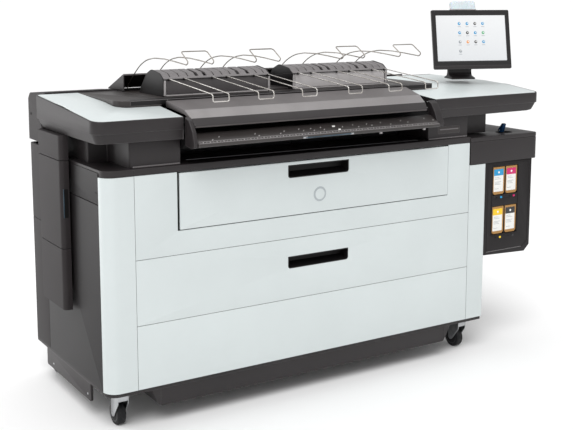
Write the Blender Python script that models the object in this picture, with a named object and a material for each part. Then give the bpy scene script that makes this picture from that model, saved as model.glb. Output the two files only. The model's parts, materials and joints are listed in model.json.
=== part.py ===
"""Large format plotter: floor-standing page-wide printer with a scanner, two roll drawers and ink bay.

Metres, +Z up, front towards -Y.  The origin is on the floor under the middle of the bounding box.
Every sub-part is one named object; moving pieces have their origin on their joint's axis.  Fore and
aft, the sizes below are measured from the middle of the body, and one empty carries everything
forward or back so that the wire guides, which stand proud of the body, are counted in the box.
"""
import math

import bmesh
import bpy
from mathutils import Matrix, Vector

# ---------------------------------------------------------------- driving dimensions
WIDTH = 1.95                     # over the left side cover and the ink top box
DEPTH = 0.81                     # feed table lip to rear cover; the wire guides stand a little further out
HALF_W = WIDTH / 2
HALF_D = DEPTH / 2
GAP = 0.0004                     # clearance between pieces that touch
SEAM = 0.0015                    # visible shut line between panels
SHEET = 0.012                    # cover wall thickness

FRONT_Y = -0.315                 # white front plane
SKIN = 0.020                     # thickness of the white front panels
BACK_OF_SKIN = FRONT_Y + SKIN
BODY_LEFT = -0.935
BODY_RIGHT = 0.690
COLUMN_LEFT_X = -0.829           # inner edge of the left white column
COLUMN_RIGHT_X = 0.602           # inner edge of the right white column
COLUMN_RADIUS = 0.045            # left column; the right one turns its corner tightly
RIGHT_COLUMN_RADIUS = 0.006
COLUMN_WALL = 0.010
SEAM_Y = 0.243                   # side panel to rear cover seam

BASE_Z = 0.128                   # underside of the base strip
WHITE_Z0 = 0.142
SEAM_LOW_Z = 0.360               # bottom panel to lower drawer
SEAM_MID_Z = 0.582               # lower drawer to upper frame
WHITE_Z1 = 0.861
SILL_Z1 = 0.884
SIDE_TOP_Z = 0.875
REAR_SLOT_Z0 = 0.896
REAR_SLOT_Z1 = 0.907

DRAWER_X0 = -0.667               # upper drawer front
DRAWER_X1 = 0.491
DRAWER_Z0 = 0.666
DRAWER_REVEAL = 0.009            # dark gap on the drawer's left
CUP_X0 = -0.244                  # handle recesses
CUP_X1 = 0.018
CUP_DEPTH = 0.045
CUP_CORNER = 0.010
UPPER_CUP_Z = (0.800, 0.846)
LOWER_CUP_Z = (0.472, 0.516)

PAPER_WIDTH = 1.016              # 40 inch media
UPPER_ROLL_R = 0.070
LOWER_ROLL_R = 0.080
SPINDLE_R = 0.014
DRAWER_TRAVEL = 0.42

WING_Z0 = 0.972
WING_FRONT_Y = -0.335
WING_TOP = [(WING_FRONT_Y, 1.046), (-0.050, 1.077), (0.210, 1.089)]
WING_SKIN = 0.006
WING_RIM = 0.0045                # dark rim round the white skin
LEFT_WING_X = (-0.970, -0.660)
RIGHT_WING_X = (0.405, 0.955)
LEFT_WING_REAR_Y = 0.212
RIGHT_WING_REAR_Y = 0.225
REAR_TOP_Z = 1.095

DECK_X = (-0.812, 0.540)
DECK_Z = 1.088
DECK_FRONT_Y = -0.155
DECK_REAR_Y = 0.300
LID_X = (-0.638, 0.398)
LID_FRONT_RIGHT = 0.333          # the lid narrows to this towards its front
TABLE_X = (-0.640, 0.3695)
LID_HINGE = Vector((-0.120, -0.1565, 1.0815))
TABLE_LIP_Z = 0.957

HUMP_X = ((-0.615, -0.180), (-0.085, 0.360))
HUMP_SLOTS = 9

INK_X = (0.692, 0.946)
INK_Z = (0.383, 0.771)
INK_TOP_X = (0.608, HALF_W)
INK_TOP_Z = (0.772, 0.879)
INK_REAR_Y = 0.180
CART_SIZE = (0.062, 0.230, 0.113)
CART_X = (0.737, 0.806)
CART_Z = (0.637, 0.474)
CART_TRAVEL = 0.20

PAN_X = (-0.771, 0.523)
PAN_Z0 = 0.065
SKIRT_FRONT_Y = -0.142
SKIRT_REAR_Y = (0.295, 0.255)    # left, right

CASTER_X = (-0.864, 0.628)
CASTER_Y = (-0.245, 0.335)
WHEEL_R = 0.040
WHEEL_W = 0.030
WHEEL_SIDES = 24
CASTER_TRAIL = 0.028

MONITOR_CENTRE = Vector((0.769, -0.125, 1.257))
MONITOR_SIZE = (0.343, 0.028, 0.245)
MONITOR_YAW = math.radians(-18.4)
MONITOR_TILT = math.radians(11.5)
NECK_AXIS = Vector((0.765, -0.062, 1.0865))

WIRE_R = 0.002
HOOD_X = (-0.6545, 0.3985)
FRONT_WIRE_X = (-0.567, -0.397, -0.225, -0.034, 0.142, 0.310)
FRONT_WIRE_ROOT = (-0.0925, 1.147)
FRONT_WIRE_Y = -0.422            # foremost point of the machine
REAR_WIRE_X = (-0.573, -0.312, 0.050, 0.311)
FORE_AFT_SHIFT = (-(FRONT_WIRE_Y - WIRE_R) - HALF_D) / 2   # puts the origin under the middle


# ---------------------------------------------------------------- helpers
def clear_scene():
    for obj in list(bpy.data.objects):
        bpy.data.objects.remove(obj, do_unlink=True)


def paint(obj, colour, roughness=0.5, metallic=0.0):
    """Give an object its own Principled material."""
    mat = bpy.data.materials.new(obj.name)
    mat.use_nodes = True
    shader = mat.node_tree.nodes["Principled BSDF"]
    shader.inputs["Base Color"].default_value = (*colour, 1.0)
    shader.inputs["Roughness"].default_value = roughness
    shader.inputs["Metallic"].default_value = metallic
    obj.data.materials.clear()
    obj.data.materials.append(mat)
    return obj


WHITE = (0.72, 0.78, 0.78)
DARK = (0.060, 0.054, 0.052)
DARKER = (0.022, 0.020, 0.020)
MID = (0.20, 0.19, 0.19)
STEEL = (0.55, 0.56, 0.58)
PAPER = (0.86, 0.86, 0.84)
KRAFT = (0.42, 0.28, 0.13)


def link(name, bm, origin=(0, 0, 0)):
    """Turn a bmesh given in world metres into an object whose origin is at `origin`."""
    bmesh.ops.recalc_face_normals(bm, faces=bm.faces)
    bmesh.ops.translate(bm, vec=-Vector(origin), verts=bm.verts)
    mesh = bpy.data.meshes.new(name)
    bm.to_mesh(mesh)
    bm.free()
    obj = bpy.data.objects.new(name, mesh)
    obj.location = origin
    bpy.context.scene.collection.objects.link(obj)
    return obj


def add_box(bm, low, high):
    """Add a box between two corners."""
    size = Vector(high) - Vector(low)
    centre = (Vector(low) + Vector(high)) / 2
    matrix = Matrix.Translation(centre) @ Matrix.Diagonal((*size, 1))
    bmesh.ops.create_cube(bm, size=1, matrix=matrix)


def box(name, low, high, origin=(0, 0, 0)):
    bm = bmesh.new()
    add_box(bm, low, high)
    return link(name, bm, origin)


def lift(point, axis, value):
    """Put a 2-D outline point on a plane across `axis`: the two other axes take it in X, Y, Z order."""
    a, b = point
    return {"X": (value, a, b), "Y": (a, value, b), "Z": (a, b, value)}[axis]


def add_prism(bm, outline, axis, low, high):
    """Extrude a closed outline along an axis."""
    base = [bm.verts.new(lift(p, axis, low)) for p in outline]
    face = bm.faces.new(base)
    grown = bmesh.ops.extrude_face_region(bm, geom=[face])
    moved = [v for v in grown["geom"] if isinstance(v, bmesh.types.BMVert)]
    step = Vector(lift((0, 0), axis, high - low))
    bmesh.ops.translate(bm, vec=step, verts=moved)


def prism(name, outline, axis, low, high, origin=(0, 0, 0)):
    bm = bmesh.new()
    add_prism(bm, outline, axis, low, high)
    return link(name, bm, origin)


def arc(centre, radius, start, end, steps):
    """Points on an arc, angles in degrees."""
    angles = [math.radians(start + (end - start) * i / steps) for i in range(steps + 1)]
    return [(centre[0] + radius * math.cos(a), centre[1] + radius * math.sin(a)) for a in angles]


def add_turned(bm, profile, centre, axis, segments):
    """Turn a (position along axis, radius) profile that starts and ends at radius 0."""
    rings = []
    spin = {"X": 0, "Y": 1, "Z": 2}[axis]
    for along, radius in profile:
        ring = []
        for i in range(segments if radius else 1):
            angle = 2 * math.pi * (i + 0.5) / segments
            flat = [radius * math.cos(angle), radius * math.sin(angle)]
            flat.insert(spin, along)
            ring.append(bm.verts.new(Vector(centre) + Vector(flat)))
        rings.append(ring)
    for first, second in zip(rings, rings[1:]):
        for i in range(segments):
            j = (i + 1) % segments
            quad = [first[i % len(first)], first[j % len(first)]]
            quad += [second[j % len(second)], second[i % len(second)]]
            bm.faces.new(list(dict.fromkeys(quad)))


def turned(name, profile, centre, axis, segments=24, origin=None):
    bm = bmesh.new()
    add_turned(bm, profile, centre, axis, segments)
    obj = link(name, bm, centre if origin is None else origin)
    obj.data.shade_smooth()
    obj.data.set_sharp_from_angle(angle=math.radians(40))
    return obj


def boolean(obj, tool, operation="DIFFERENCE"):
    """Cut `obj` with, or join it to, a hidden tool object."""
    tool.hide_render = True
    tool.display_type = "WIRE"
    mod = obj.modifiers.new(tool.name, "BOOLEAN")
    mod.object = tool
    mod.operation = operation
    mod.solver = "EXACT"
    return obj


def wire(name, loops, radius=WIRE_R):
    """One bent steel wire for each list of points, as closed tubes."""
    curve = bpy.data.curves.new(name, "CURVE")
    curve.dimensions = "3D"
    curve.bevel_depth = radius
    curve.bevel_resolution = 1
    curve.use_fill_caps = True
    for points in loops:
        spline = curve.splines.new("POLY")
        spline.points.add(len(points) - 1)
        for target, point in zip(spline.points, points):
            target.co = (*point, 1)
    obj = bpy.data.objects.new(name, curve)
    bpy.context.scene.collection.objects.link(obj)
    return obj


def as_mesh(obj):
    """Replace a curve object by a mesh object of the same shape and name, so that a Boolean can join it."""
    mesh = bpy.data.meshes.new_from_object(obj.evaluated_get(bpy.context.evaluated_depsgraph_get()))
    name = obj.name
    bpy.data.objects.remove(obj, do_unlink=True)
    bm = bmesh.new()
    bm.from_mesh(mesh)
    bmesh.ops.remove_doubles(bm, verts=bm.verts, dist=0.00001)
    return link(name, bm)


# ---------------------------------------------------------------- frame and covers
def make_chassis():
    """Welded steel frame: three bays, open to front and rear."""
    left, right = COLUMN_LEFT_X + 0.004, COLUMN_RIGHT_X - 0.004
    y0, y1 = BACK_OF_SKIN + 0.001, HALF_D - SHEET - 0.002
    wall = 0.008
    frame = box("chassis_frame", (left, y0, WHITE_Z0 + 0.001), (right, y1, WHITE_Z1))
    bays = bmesh.new()
    for low, high in ((WHITE_Z0 + 0.012, SEAM_LOW_Z - 0.004), (SEAM_LOW_Z + 0.004, SEAM_MID_Z),
                      (SEAM_MID_Z + wall, WHITE_Z1 - wall)):
        add_box(bays, (left + wall, y0 - 0.1, low), (right - wall, y1 + 0.1, high))
    paint(frame, STEEL, 0.45, 0.9)
    return boolean(frame, link("chassis_bays", bays))


def rounded_plan(x0, x1, y0, y1):
    """Plan rectangle whose two front corners follow the columns' radius."""
    left, right = COLUMN_RADIUS - 0.004, RIGHT_COLUMN_RADIUS - 0.002
    front_left = arc((x0 + left, y0 + left), left, 180, 270, 6)
    front_right = arc((x1 - right, y0 + right), right, 270, 360, 4)
    return front_left + front_right + [(x1, y1), (x0, y1)]


def make_base_pan():
    """Dark strip under the panels with the deeper pan between the casters."""
    plan = rounded_plan(BODY_LEFT + 0.004, BODY_RIGHT - 0.004, FRONT_Y + 0.006, HALF_D - 0.004)
    strip = prism("base_pan", plan, "Z", BASE_Z, WHITE_Z0 - GAP)
    x0, x1 = PAN_X
    lean, corner = 0.020, 0.030
    outline = [(x0, BASE_Z + 0.004), (x0 + lean * 0.7, PAN_Z0 + corner), (x0 + lean + 0.012, PAN_Z0)]
    outline += [(x1 - lean - 0.012, PAN_Z0), (x1 - lean * 0.7, PAN_Z0 + corner), (x1, BASE_Z + 0.004)]
    pan = prism("pan_body", outline, "Y", FRONT_Y + 0.010, HALF_D - 0.050)
    skirt = bmesh.new()
    for x, rear in zip((BODY_LEFT + 0.004, BODY_RIGHT - 0.014), SKIRT_REAR_Y):
        add_box(skirt, (x, SKIRT_FRONT_Y, PAN_Z0), (x + 0.010, rear, BASE_Z + 0.004))
    paint(strip, DARK, 0.6)
    boolean(strip, pan, "UNION")
    return boolean(strip, link("side_skirts", skirt), "UNION")


def make_side_panels():
    y0, y1 = FRONT_Y + COLUMN_RADIUS + SEAM, SEAM_Y - SEAM / 2
    left = box("left_side_panel", (BODY_LEFT, y0, WHITE_Z0), (BODY_LEFT + SHEET, y1, SIDE_TOP_Z))
    right = box("right_side_panel", (BODY_RIGHT - SHEET, y0, WHITE_Z0), (BODY_RIGHT, y1, INK_TOP_Z[0] - SEAM))
    paint(left, DARK, 0.55)
    paint(right, DARK, 0.55)


def make_rear_panel():
    """Rear cover that wraps round both sides, with the print slot above it."""
    y0 = SEAM_Y + SEAM / 2
    outer = [(BODY_LEFT, y0), (BODY_LEFT, HALF_D - 0.02), (BODY_LEFT + 0.02, HALF_D)]
    outer += [(BODY_RIGHT - 0.02, HALF_D), (BODY_RIGHT, HALF_D - 0.02), (BODY_RIGHT, y0)]
    inner = [(BODY_RIGHT - SHEET, y0), (BODY_RIGHT - SHEET, HALF_D - SHEET)]
    inner += [(BODY_LEFT + SHEET, HALF_D - SHEET), (BODY_LEFT + SHEET, y0)]
    cover = prism("rear_panel", outer + inner, "Z", WHITE_Z0, REAR_SLOT_Z0)
    return paint(cover, DARK, 0.55)


def left_column_plan():
    """A flat front that rounds onto the side, hollow behind."""
    r = COLUMN_RADIUS
    inner_x = COLUMN_LEFT_X - SEAM / 2
    centre = (BODY_LEFT + r, FRONT_Y + r)
    outer = [(inner_x, FRONT_Y)] + arc(centre, r, 270, 180, 6)
    return outer + arc(centre, r - COLUMN_WALL, 180, 270, 6) + [(inner_x, FRONT_Y + COLUMN_WALL)]


def right_column_plan():
    """A flat front that turns a tight corner onto the side, hollow behind."""
    r = RIGHT_COLUMN_RADIUS
    inner_x, rear = COLUMN_RIGHT_X + SEAM / 2, FRONT_Y + COLUMN_RADIUS
    side = BODY_RIGHT - COLUMN_WALL
    outer = [(inner_x, FRONT_Y)] + arc((BODY_RIGHT - r, FRONT_Y + r), r, 270, 360, 4) + [(BODY_RIGHT, rear)]
    return outer + [(side, rear), (side, FRONT_Y + COLUMN_WALL), (inner_x, FRONT_Y + COLUMN_WALL)]


def make_columns():
    left = prism("left_column", left_column_plan(), "Z", WHITE_Z0, WHITE_Z1)
    right = prism("right_column", right_column_plan(), "Z", WHITE_Z0, INK_TOP_Z[0] - SEAM)
    paint(left, WHITE, 0.35)
    paint(right, WHITE, 0.35)


def make_front_panels():
    """Upper frame round the drawer and the plain bottom panel."""
    x0, x1 = COLUMN_LEFT_X + SEAM / 2, COLUMN_RIGHT_X - SEAM / 2
    hole_x0, hole_x1 = DRAWER_X0 - DRAWER_REVEAL, DRAWER_X1 + SEAM
    hole_z = DRAWER_Z0 - 0.003
    outline = [(x0, SEAM_MID_Z + SEAM / 2), (x1, SEAM_MID_Z + SEAM / 2), (x1, WHITE_Z1), (hole_x1, WHITE_Z1)]
    outline += [(hole_x1, hole_z), (hole_x0, hole_z), (hole_x0, WHITE_Z1), (x0, WHITE_Z1)]
    frame = prism("upper_front_frame", outline, "Y", FRONT_Y, BACK_OF_SKIN)
    bottom = box("bottom_front_panel", (x0, FRONT_Y, WHITE_Z0), (x1, BACK_OF_SKIN, SEAM_LOW_Z - SEAM / 2))
    paint(frame, WHITE, 0.35)
    paint(bottom, WHITE, 0.35)


def make_sill():
    """Dark plinth that closes the top of the body under the scanner."""
    low, high = WHITE_Z1 + GAP, SILL_Z1
    front, rear, right = FRONT_Y + 0.003, HALF_D - SHEET - 0.003, INK_TOP_X[0] - SEAM
    r = COLUMN_RADIUS - 0.003
    inner_left = BODY_LEFT + SHEET + 0.002
    outline = arc((BODY_LEFT + 0.003 + r, front + r), r, 180, 270, 6)
    outline += [(right, front), (right, rear), (inner_left, rear), (inner_left, front + r)]
    return paint(prism("front_sill", outline, "Z", low, high), DARK, 0.6)


# ---------------------------------------------------------------- drawers
def roll_centres(drawer):
    """Spindle centres (Y, Z) of the two rolls in a drawer."""
    if drawer == "upper":
        return [(-0.188, 0.762), (-0.040, 0.762)]
    return [(-0.178, 0.472), (-0.010, 0.472)]


def cup_outline(cup_z, inset):
    """Front view of a handle recess, moved in by `inset`: rounded lower corners, square upper ones."""
    x0, x1 = CUP_X0 + inset, CUP_X1 - inset
    z0, z1 = cup_z[0] + inset, cup_z[1] - inset
    r = CUP_CORNER - inset
    lower = arc((x0 + r, z0 + r), r, 180, 270, 4) + arc((x1 - r, z0 + r), r, 270, 360, 4)
    return lower + [(x1, z1), (x0, z1)]


def make_drawer_front(name, x0, x1, z0, z1, cup_z):
    panel = box(name, (x0, FRONT_Y, z0), (x1, BACK_OF_SKIN, z1))
    boolean(panel, prism(name + "_recess", cup_outline(cup_z, 0), "Y", FRONT_Y - 0.01, BACK_OF_SKIN + 0.01))
    return paint(panel, WHITE, 0.35)


def make_handle_cup(name, cup_z):
    """Black finger cup set in the drawer front: rounded lower corners, sloping back wall."""
    wall = 0.003
    cup = prism(name, cup_outline(cup_z, GAP), "Y", FRONT_Y + 0.001, FRONT_Y + CUP_DEPTH)
    low, high = cup_z[0] + GAP + wall, cup_z[1] - GAP - wall
    side = [(FRONT_Y - 0.01, low), (FRONT_Y + 0.016, low), (FRONT_Y + CUP_DEPTH - wall, high - 0.015)]
    side += [(FRONT_Y + CUP_DEPTH - wall, high), (FRONT_Y - 0.01, high)]
    hollow = prism(name + "_hollow", side, "X", CUP_X0, CUP_X1)
    mouth = prism(name + "_mouth", cup_outline(cup_z, GAP + wall), "Y", FRONT_Y - 0.02, FRONT_Y + 0.1)
    boolean(hollow, mouth, "INTERSECT")
    boolean(cup, hollow)
    return paint(cup, DARKER, 0.4)


def make_tray(name, x0, x1, y1, z0, z1, centres):
    """Open steel tray with a U notch in each side for every spindle."""
    wall = 0.006
    y0 = BACK_OF_SKIN + GAP
    tray = box(name, (x0, y0, z0), (x1, y1, z1))
    front = y0 + CUP_DEPTH + 0.008 - SKIN
    inside = box(name + "_inside", (x0 + wall, front, z0 + wall), (x1 - wall, y1 - wall, z1 + 0.1))
    notches = bmesh.new()
    for y, z in centres:
        r = SPINDLE_R + 0.001
        outline = arc((y, z), r, 180, 360, 6) + [(y + r, z1 + 0.05), (y - r, z1 + 0.05)]
        add_prism(notches, outline, "X", x0 - 0.05, x0 + wall + 0.01)
        add_prism(notches, outline, "X", x1 - wall - 0.01, x1 + 0.05)
    boolean(tray, inside)
    boolean(tray, link(name + "_notches", notches))
    return paint(tray, STEEL, 0.4, 0.9)


def make_roll(name, y, z, radius, x_mid, span):
    """Media roll on its spindle, one turned solid: spindle ends, hubs and wound paper."""
    half, paper = span / 2, PAPER_WIDTH / 2
    hub = radius * 0.72
    profile = [(-half, 0), (-half, SPINDLE_R), (-paper - 0.014, SPINDLE_R)]
    profile += [(-paper - 0.014, hub), (-paper, hub), (-paper, radius)]
    profile += [(paper, radius), (paper, hub), (paper + 0.014, hub)]
    profile += [(paper + 0.014, SPINDLE_R), (half, SPINDLE_R), (half, 0)]
    return paint(turned(name, profile, (x_mid, y, z), "X", 20), PAPER, 0.7)


def make_cup_cut(tray_name, cup_z):
    """Clearance in the tray's front wall for the handle cup."""
    low = (CUP_X0 - 0.002, BACK_OF_SKIN - 0.01, cup_z[0] - 0.002)
    high = (CUP_X1 + 0.002, FRONT_Y + CUP_DEPTH + 0.0015, cup_z[1] + 0.002)
    boolean(bpy.data.objects[tray_name], box(tray_name + "_cup_space", low, high))


def make_drawers():
    make_drawer_front("upper_drawer_front", DRAWER_X0, DRAWER_X1, DRAWER_Z0, WHITE_Z1 - 0.004, UPPER_CUP_Z)
    x0, x1 = COLUMN_LEFT_X + SEAM / 2, COLUMN_RIGHT_X - SEAM / 2
    z0, z1 = SEAM_LOW_Z + SEAM / 2, SEAM_MID_Z - SEAM / 2
    make_drawer_front("lower_drawer_front", x0, x1, z0, z1, LOWER_CUP_Z)
    make_handle_cup("upper_handle_cup", UPPER_CUP_Z)
    make_handle_cup("lower_handle_cup", LOWER_CUP_Z)
    upper = (DRAWER_X0 + 0.004, DRAWER_X1 - 0.004)
    lower = (x0 + 0.020, x1 - 0.020)
    make_tray("upper_drawer_tray", *upper, 0.110, 0.676, 0.842, roll_centres("upper"))
    make_tray("lower_drawer_tray", *lower, 0.150, 0.372, 0.560, roll_centres("lower"))
    make_cup_cut("upper_drawer_tray", UPPER_CUP_Z)
    make_cup_cut("lower_drawer_tray", LOWER_CUP_Z)
    for drawer, (left, right), radius in (("upper", upper, UPPER_ROLL_R), ("lower", lower, LOWER_ROLL_R)):
        for place, (y, z) in zip(("front", "rear"), roll_centres(drawer)):
            mid, span = (left + right) / 2, right - left - 0.002
            make_roll(f"{drawer}_roll_{place}", y, z, radius, mid, span)


# ---------------------------------------------------------------- wings, deck and scanner
def make_pillars():
    """Dark blocks that carry the wings over the paper path."""
    top = WING_Z0 - GAP
    left = [(-0.835, -0.295), (-0.652, -0.295), (-0.652, 0.200)]
    left += [(-0.905, 0.200), (-0.905, -0.110), (-0.835, -0.110)]
    right = [(0.405, -0.295), (0.604, -0.295), (0.604, -0.230), (0.765, -0.230), (0.765, 0.150)]
    right += [(0.604, 0.150), (0.604, 0.200), (0.405, 0.200)]
    for name, plan in (("left_pillar", left), ("right_pillar", right)):
        paint(prism(name, plan, "Z", SILL_Z1 + GAP, top), DARK, 0.5)


def wing_side(front_y, rear_y):
    """Side profile (Y, Z) of a wing shell up to the underside of its white skin."""
    under = [(y, z - WING_SKIN) for y, z in WING_TOP]
    outline = [(front_y + 0.020, WING_Z0), (front_y + 0.006, WING_Z0 + 0.008), (front_y, 1.006)]
    outline += [(front_y, under[0][1] - 0.008), (front_y + 0.010, under[0][1])]
    outline += [under[1], under[2], (rear_y, under[2][1])]
    return outline + [(rear_y, WING_Z0)]


def plan_cut(name, outline):
    """Tall cutter with a hole of the given plan, used to trim a wing to its plan shape."""
    return prism(name, outline, "Z", 0.9, 1.2)


def right_wing_plan():
    """Plan of the right wing: square front, sides that narrow towards the rear."""
    x0, x1 = RIGHT_WING_X
    r = 0.030
    corner = arc((x1 - r, WING_FRONT_Y + r), r, 270, 360, 6)
    return [(x0, WING_FRONT_Y)] + corner + [(x1, -0.150), (0.840, RIGHT_WING_REAR_Y), (x0, RIGHT_WING_REAR_Y)]


def left_wing_plan():
    """Plan of the left wing: a large round front corner and a small one at the rear."""
    x0, x1 = LEFT_WING_X
    r, small = 0.040, 0.012
    front_corner = arc((x0 + r, WING_FRONT_Y + r), r, 180, 270, 8)
    rear_corner = arc((x0 + small, LEFT_WING_REAR_Y - small), small, 90, 180, 3)
    return front_corner + [(x1, WING_FRONT_Y), (x1, LEFT_WING_REAR_Y)] + rear_corner


def inset_plan(plan, inset, keep_x):
    """Pull an outline in from its own edges, except where it meets the scanner at keep_x."""
    cx = sum(p[0] for p in plan) / len(plan)
    cy = sum(p[1] for p in plan) / len(plan)
    moved = []
    for x, y in plan:
        new_x = x if abs(x - keep_x) < 1e-6 else x - math.copysign(inset, x - cx)
        moved.append((new_x, y - math.copysign(inset, y - cy)))
    return moved


def deck_corner():
    """The deck's front left corner in plan, an S-shaped curve from its side to its front."""
    x, y = DECK_X[0], DECK_FRONT_Y
    curve = ((0, 0.044), (0.005, 0.026), (0.018, 0.010), (0.032, 0.002), (0.044, 0))
    return [(x + across, y + back) for across, back in curve]


def make_left_wing():
    x1 = LEFT_WING_X[1]
    shell_part = prism("left_wing_shell", wing_side(WING_FRONT_Y, LEFT_WING_REAR_Y), "X", *LEFT_WING_X)
    boolean(shell_part, plan_cut("left_wing_plan", left_wing_plan()), "INTERSECT")
    paint(shell_part, DARK, 0.5)
    plan = inset_plan(left_wing_plan(), WING_RIM, x1)
    notch = [(x - SEAM, y - SEAM) for x, y in deck_corner()]
    notch += [(x1 + 0.1, DECK_FRONT_Y - SEAM), (x1 + 0.1, 0.5), (DECK_X[0] - SEAM, 0.5)]
    make_wing_top("left_wing_top", plan, notch)


def make_wing_top(name, plan, notch):
    """White skin that follows the wing's sloping top, inside the dark rim and round the deck."""
    lower = [(y, z - WING_SKIN + GAP) for y, z in WING_TOP]
    upper = list(WING_TOP)
    upper[0] = (WING_FRONT_Y + 0.001, WING_TOP[0][1])
    slab = lower[:1] + upper + [(0.205, lower[2][1])] + [lower[1]]
    top = prism(name, slab, "X", min(p[0] for p in plan) - 0.01, max(p[0] for p in plan) + 0.01)
    boolean(top, plan_cut(name + "_plan", plan), "INTERSECT")
    boolean(top, plan_cut(name + "_notch", notch))
    return paint(top, WHITE, 0.35)


def make_right_wing():
    x0 = RIGHT_WING_X[0]
    shell_part = prism("right_wing_shell", wing_side(WING_FRONT_Y, RIGHT_WING_REAR_Y), "X", *RIGHT_WING_X)
    boolean(shell_part, plan_cut("right_wing_plan", right_wing_plan()), "INTERSECT")
    chamfer = [(0.905, 0.95), (1.0, 0.95), (1.0, 1.045), (0.958, 1.012), (0.905, 0.9719)]
    boolean(shell_part, prism("right_wing_chamfer", chamfer, "Y", -0.5, 0.4))
    paint(shell_part, DARK, 0.5)
    plan = inset_plan(right_wing_plan(), WING_RIM, x0)
    notch = [(DECK_X[1] + SEAM, DECK_FRONT_Y - SEAM), (x0 - 0.1, DECK_FRONT_Y - SEAM), (x0 - 0.1, 0.5)]
    make_wing_top("right_wing_top", plan, notch + [(DECK_X[1] + SEAM, 0.5)])


def make_deck():
    """Dark deck behind the scanner lid, with its rear wall down to the print slot."""
    mid_x = (LEFT_WING_X[1] + 0.001, RIGHT_WING_X[0] - 0.001)
    wall = 0.010
    outer = [(DECK_FRONT_Y, DECK_Z - 0.018), (DECK_FRONT_Y, DECK_Z), (DECK_REAR_Y, DECK_Z)]
    outer += [(HALF_D - 0.015, 1.070), (HALF_D, 1.050), (HALF_D, REAR_SLOT_Z1)]
    inner = [(HALF_D - wall, REAR_SLOT_Z1), (HALF_D - wall, 1.045), (HALF_D - 0.022, 1.058)]
    inner += [(DECK_REAR_Y - 0.004, DECK_Z - wall), (DECK_FRONT_Y + wall, DECK_Z - wall)]
    inner += [(DECK_FRONT_Y + wall, DECK_Z - 0.018)]
    deck = prism("deck", outer + inner, "X", *mid_x)
    rest = [(y, z - WING_SKIN + GAP) for y, z in WING_TOP]
    slope = (rest[1][1] - rest[0][1]) / (rest[1][0] - rest[0][0])
    front_z = rest[0][1] + slope * (DECK_FRONT_Y - rest[0][0])
    ledge = [(DECK_FRONT_Y, front_z), rest[1], rest[2]]
    ledge += [(0.240, rest[2][1]), (0.240, DECK_Z), (DECK_FRONT_Y, DECK_Z)]
    ledges = (("deck_left_ledge", DECK_X[0], mid_x[0] + 0.006),
              ("deck_right_ledge", mid_x[1] - 0.006, DECK_X[1]))
    for name, x0, x1 in ledges:
        boolean(deck, prism(name, ledge, "X", x0, x1), "UNION")
    outside = [(DECK_X[0] - 0.02, DECK_FRONT_Y - 0.02), (deck_corner()[-1][0], DECK_FRONT_Y - 0.02)]
    outside += deck_corner()[::-1] + [(DECK_X[0] - 0.02, deck_corner()[0][1])]
    boolean(deck, prism("deck_corner_cut", outside, "Z", 1.0, 1.2))
    clear = 0.0025
    ends = (("deck_left_end", LEFT_WING_REAR_Y + clear, BODY_LEFT, mid_x[0] + 0.004),
            ("deck_right_end", RIGHT_WING_REAR_Y + clear, mid_x[1] - 0.004, BODY_RIGHT))
    for name, y0, x0, x1 in ends:
        profile = [(y0, REAR_SLOT_Z1), (HALF_D, REAR_SLOT_Z1), (HALF_D, 1.060), (HALF_D - 0.02, 1.082)]
        boolean(deck, prism(name, profile + [(y0, REAR_TOP_Z)], "X", x0, x1), "UNION")
    return paint(deck, DARK, 0.55)


def make_scanner_bed():
    """Scanner body between the wings, with the transport gap above it."""
    x0, x1 = LID_X[0] - 0.012, LID_X[1]
    outline = [(-0.330, 0.962), (-0.300, 0.935), (0.180, 0.935), (0.180, 1.030), (-0.120, 1.030)]
    outline += [(-0.290, 0.996), (-0.330, 0.990)]
    bed = prism("scanner_bed", outline, "X", x0 + 0.001, x1 + 0.004)
    groove = arc((-0.240, 1.0170), 0.0182, 0, 360, 16)[:-1]
    boolean(bed, prism("bed_groove", groove, "X", x0 - 0.1, x1 + 0.1))
    return paint(bed, DARKER, 0.5)


def make_cheeks():
    """Curved end pieces that close the scanner's two ends."""
    left = [(-0.337, 1.044), (-0.360, 1.036), (-0.385, 1.005), (-0.402, 0.965), (-0.398, 0.948)]
    left += [(-0.375, 0.944), (-0.337, 0.950)]
    right = [(-0.332, 1.044), (-0.350, 1.034), (-0.371, 1.005), (-0.388, 0.965), (-0.386, 0.950)]
    right += [(-0.370, 0.944), (-0.332, 0.950)]
    paint(prism("left_cheek", left, "X", -0.6555, -0.6405), MID, 0.4)
    paint(prism("right_cheek", right, "X", TABLE_X[1] + 0.001, 0.4040), MID, 0.4)


def make_feed_table():
    """Sloping table that guides originals into the scanner."""
    outline = [(-0.3315, 0.990), (-0.350, 0.990), (-HALF_D, 0.962), (-HALF_D, TABLE_LIP_Z - 0.005)]
    outline += [(-0.392, 0.948), (-0.3315, 0.962)]
    return paint(prism("feed_table", outline, "X", *TABLE_X), DARK, 0.45)


def make_scanner_lid():
    """Curved lid over the scanner, hinged along its rear edge, with its right end cut slantwise."""
    front = -0.3745
    outline = [(LID_HINGE.y, LID_HINGE.z), (-0.165, 1.0815), (-0.301, 1.063), (-0.352, 1.040)]
    outline += [(front, 1.018), (-0.369, 1.010), (-0.348, 1.022), (-0.300, 1.046)]
    outline += [(-0.206, 1.056), (LID_HINGE.y, 1.060)]
    lid = prism("scanner_lid", outline, "X", *LID_X, origin=LID_HINGE)
    lean = (LID_X[1] - LID_FRONT_RIGHT) / (LID_HINGE.y - front)
    ahead, beyond = 0.05, LID_X[1] + 0.05
    end = [(LID_X[1], LID_HINGE.y), (LID_FRONT_RIGHT - lean * ahead, front - ahead)]
    end += [(beyond, front - ahead), (beyond, LID_HINGE.y)]
    boolean(lid, prism("lid_end_cut", end, "Z", 0.9, 1.2))
    return paint(lid, MID, 0.35)


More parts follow.
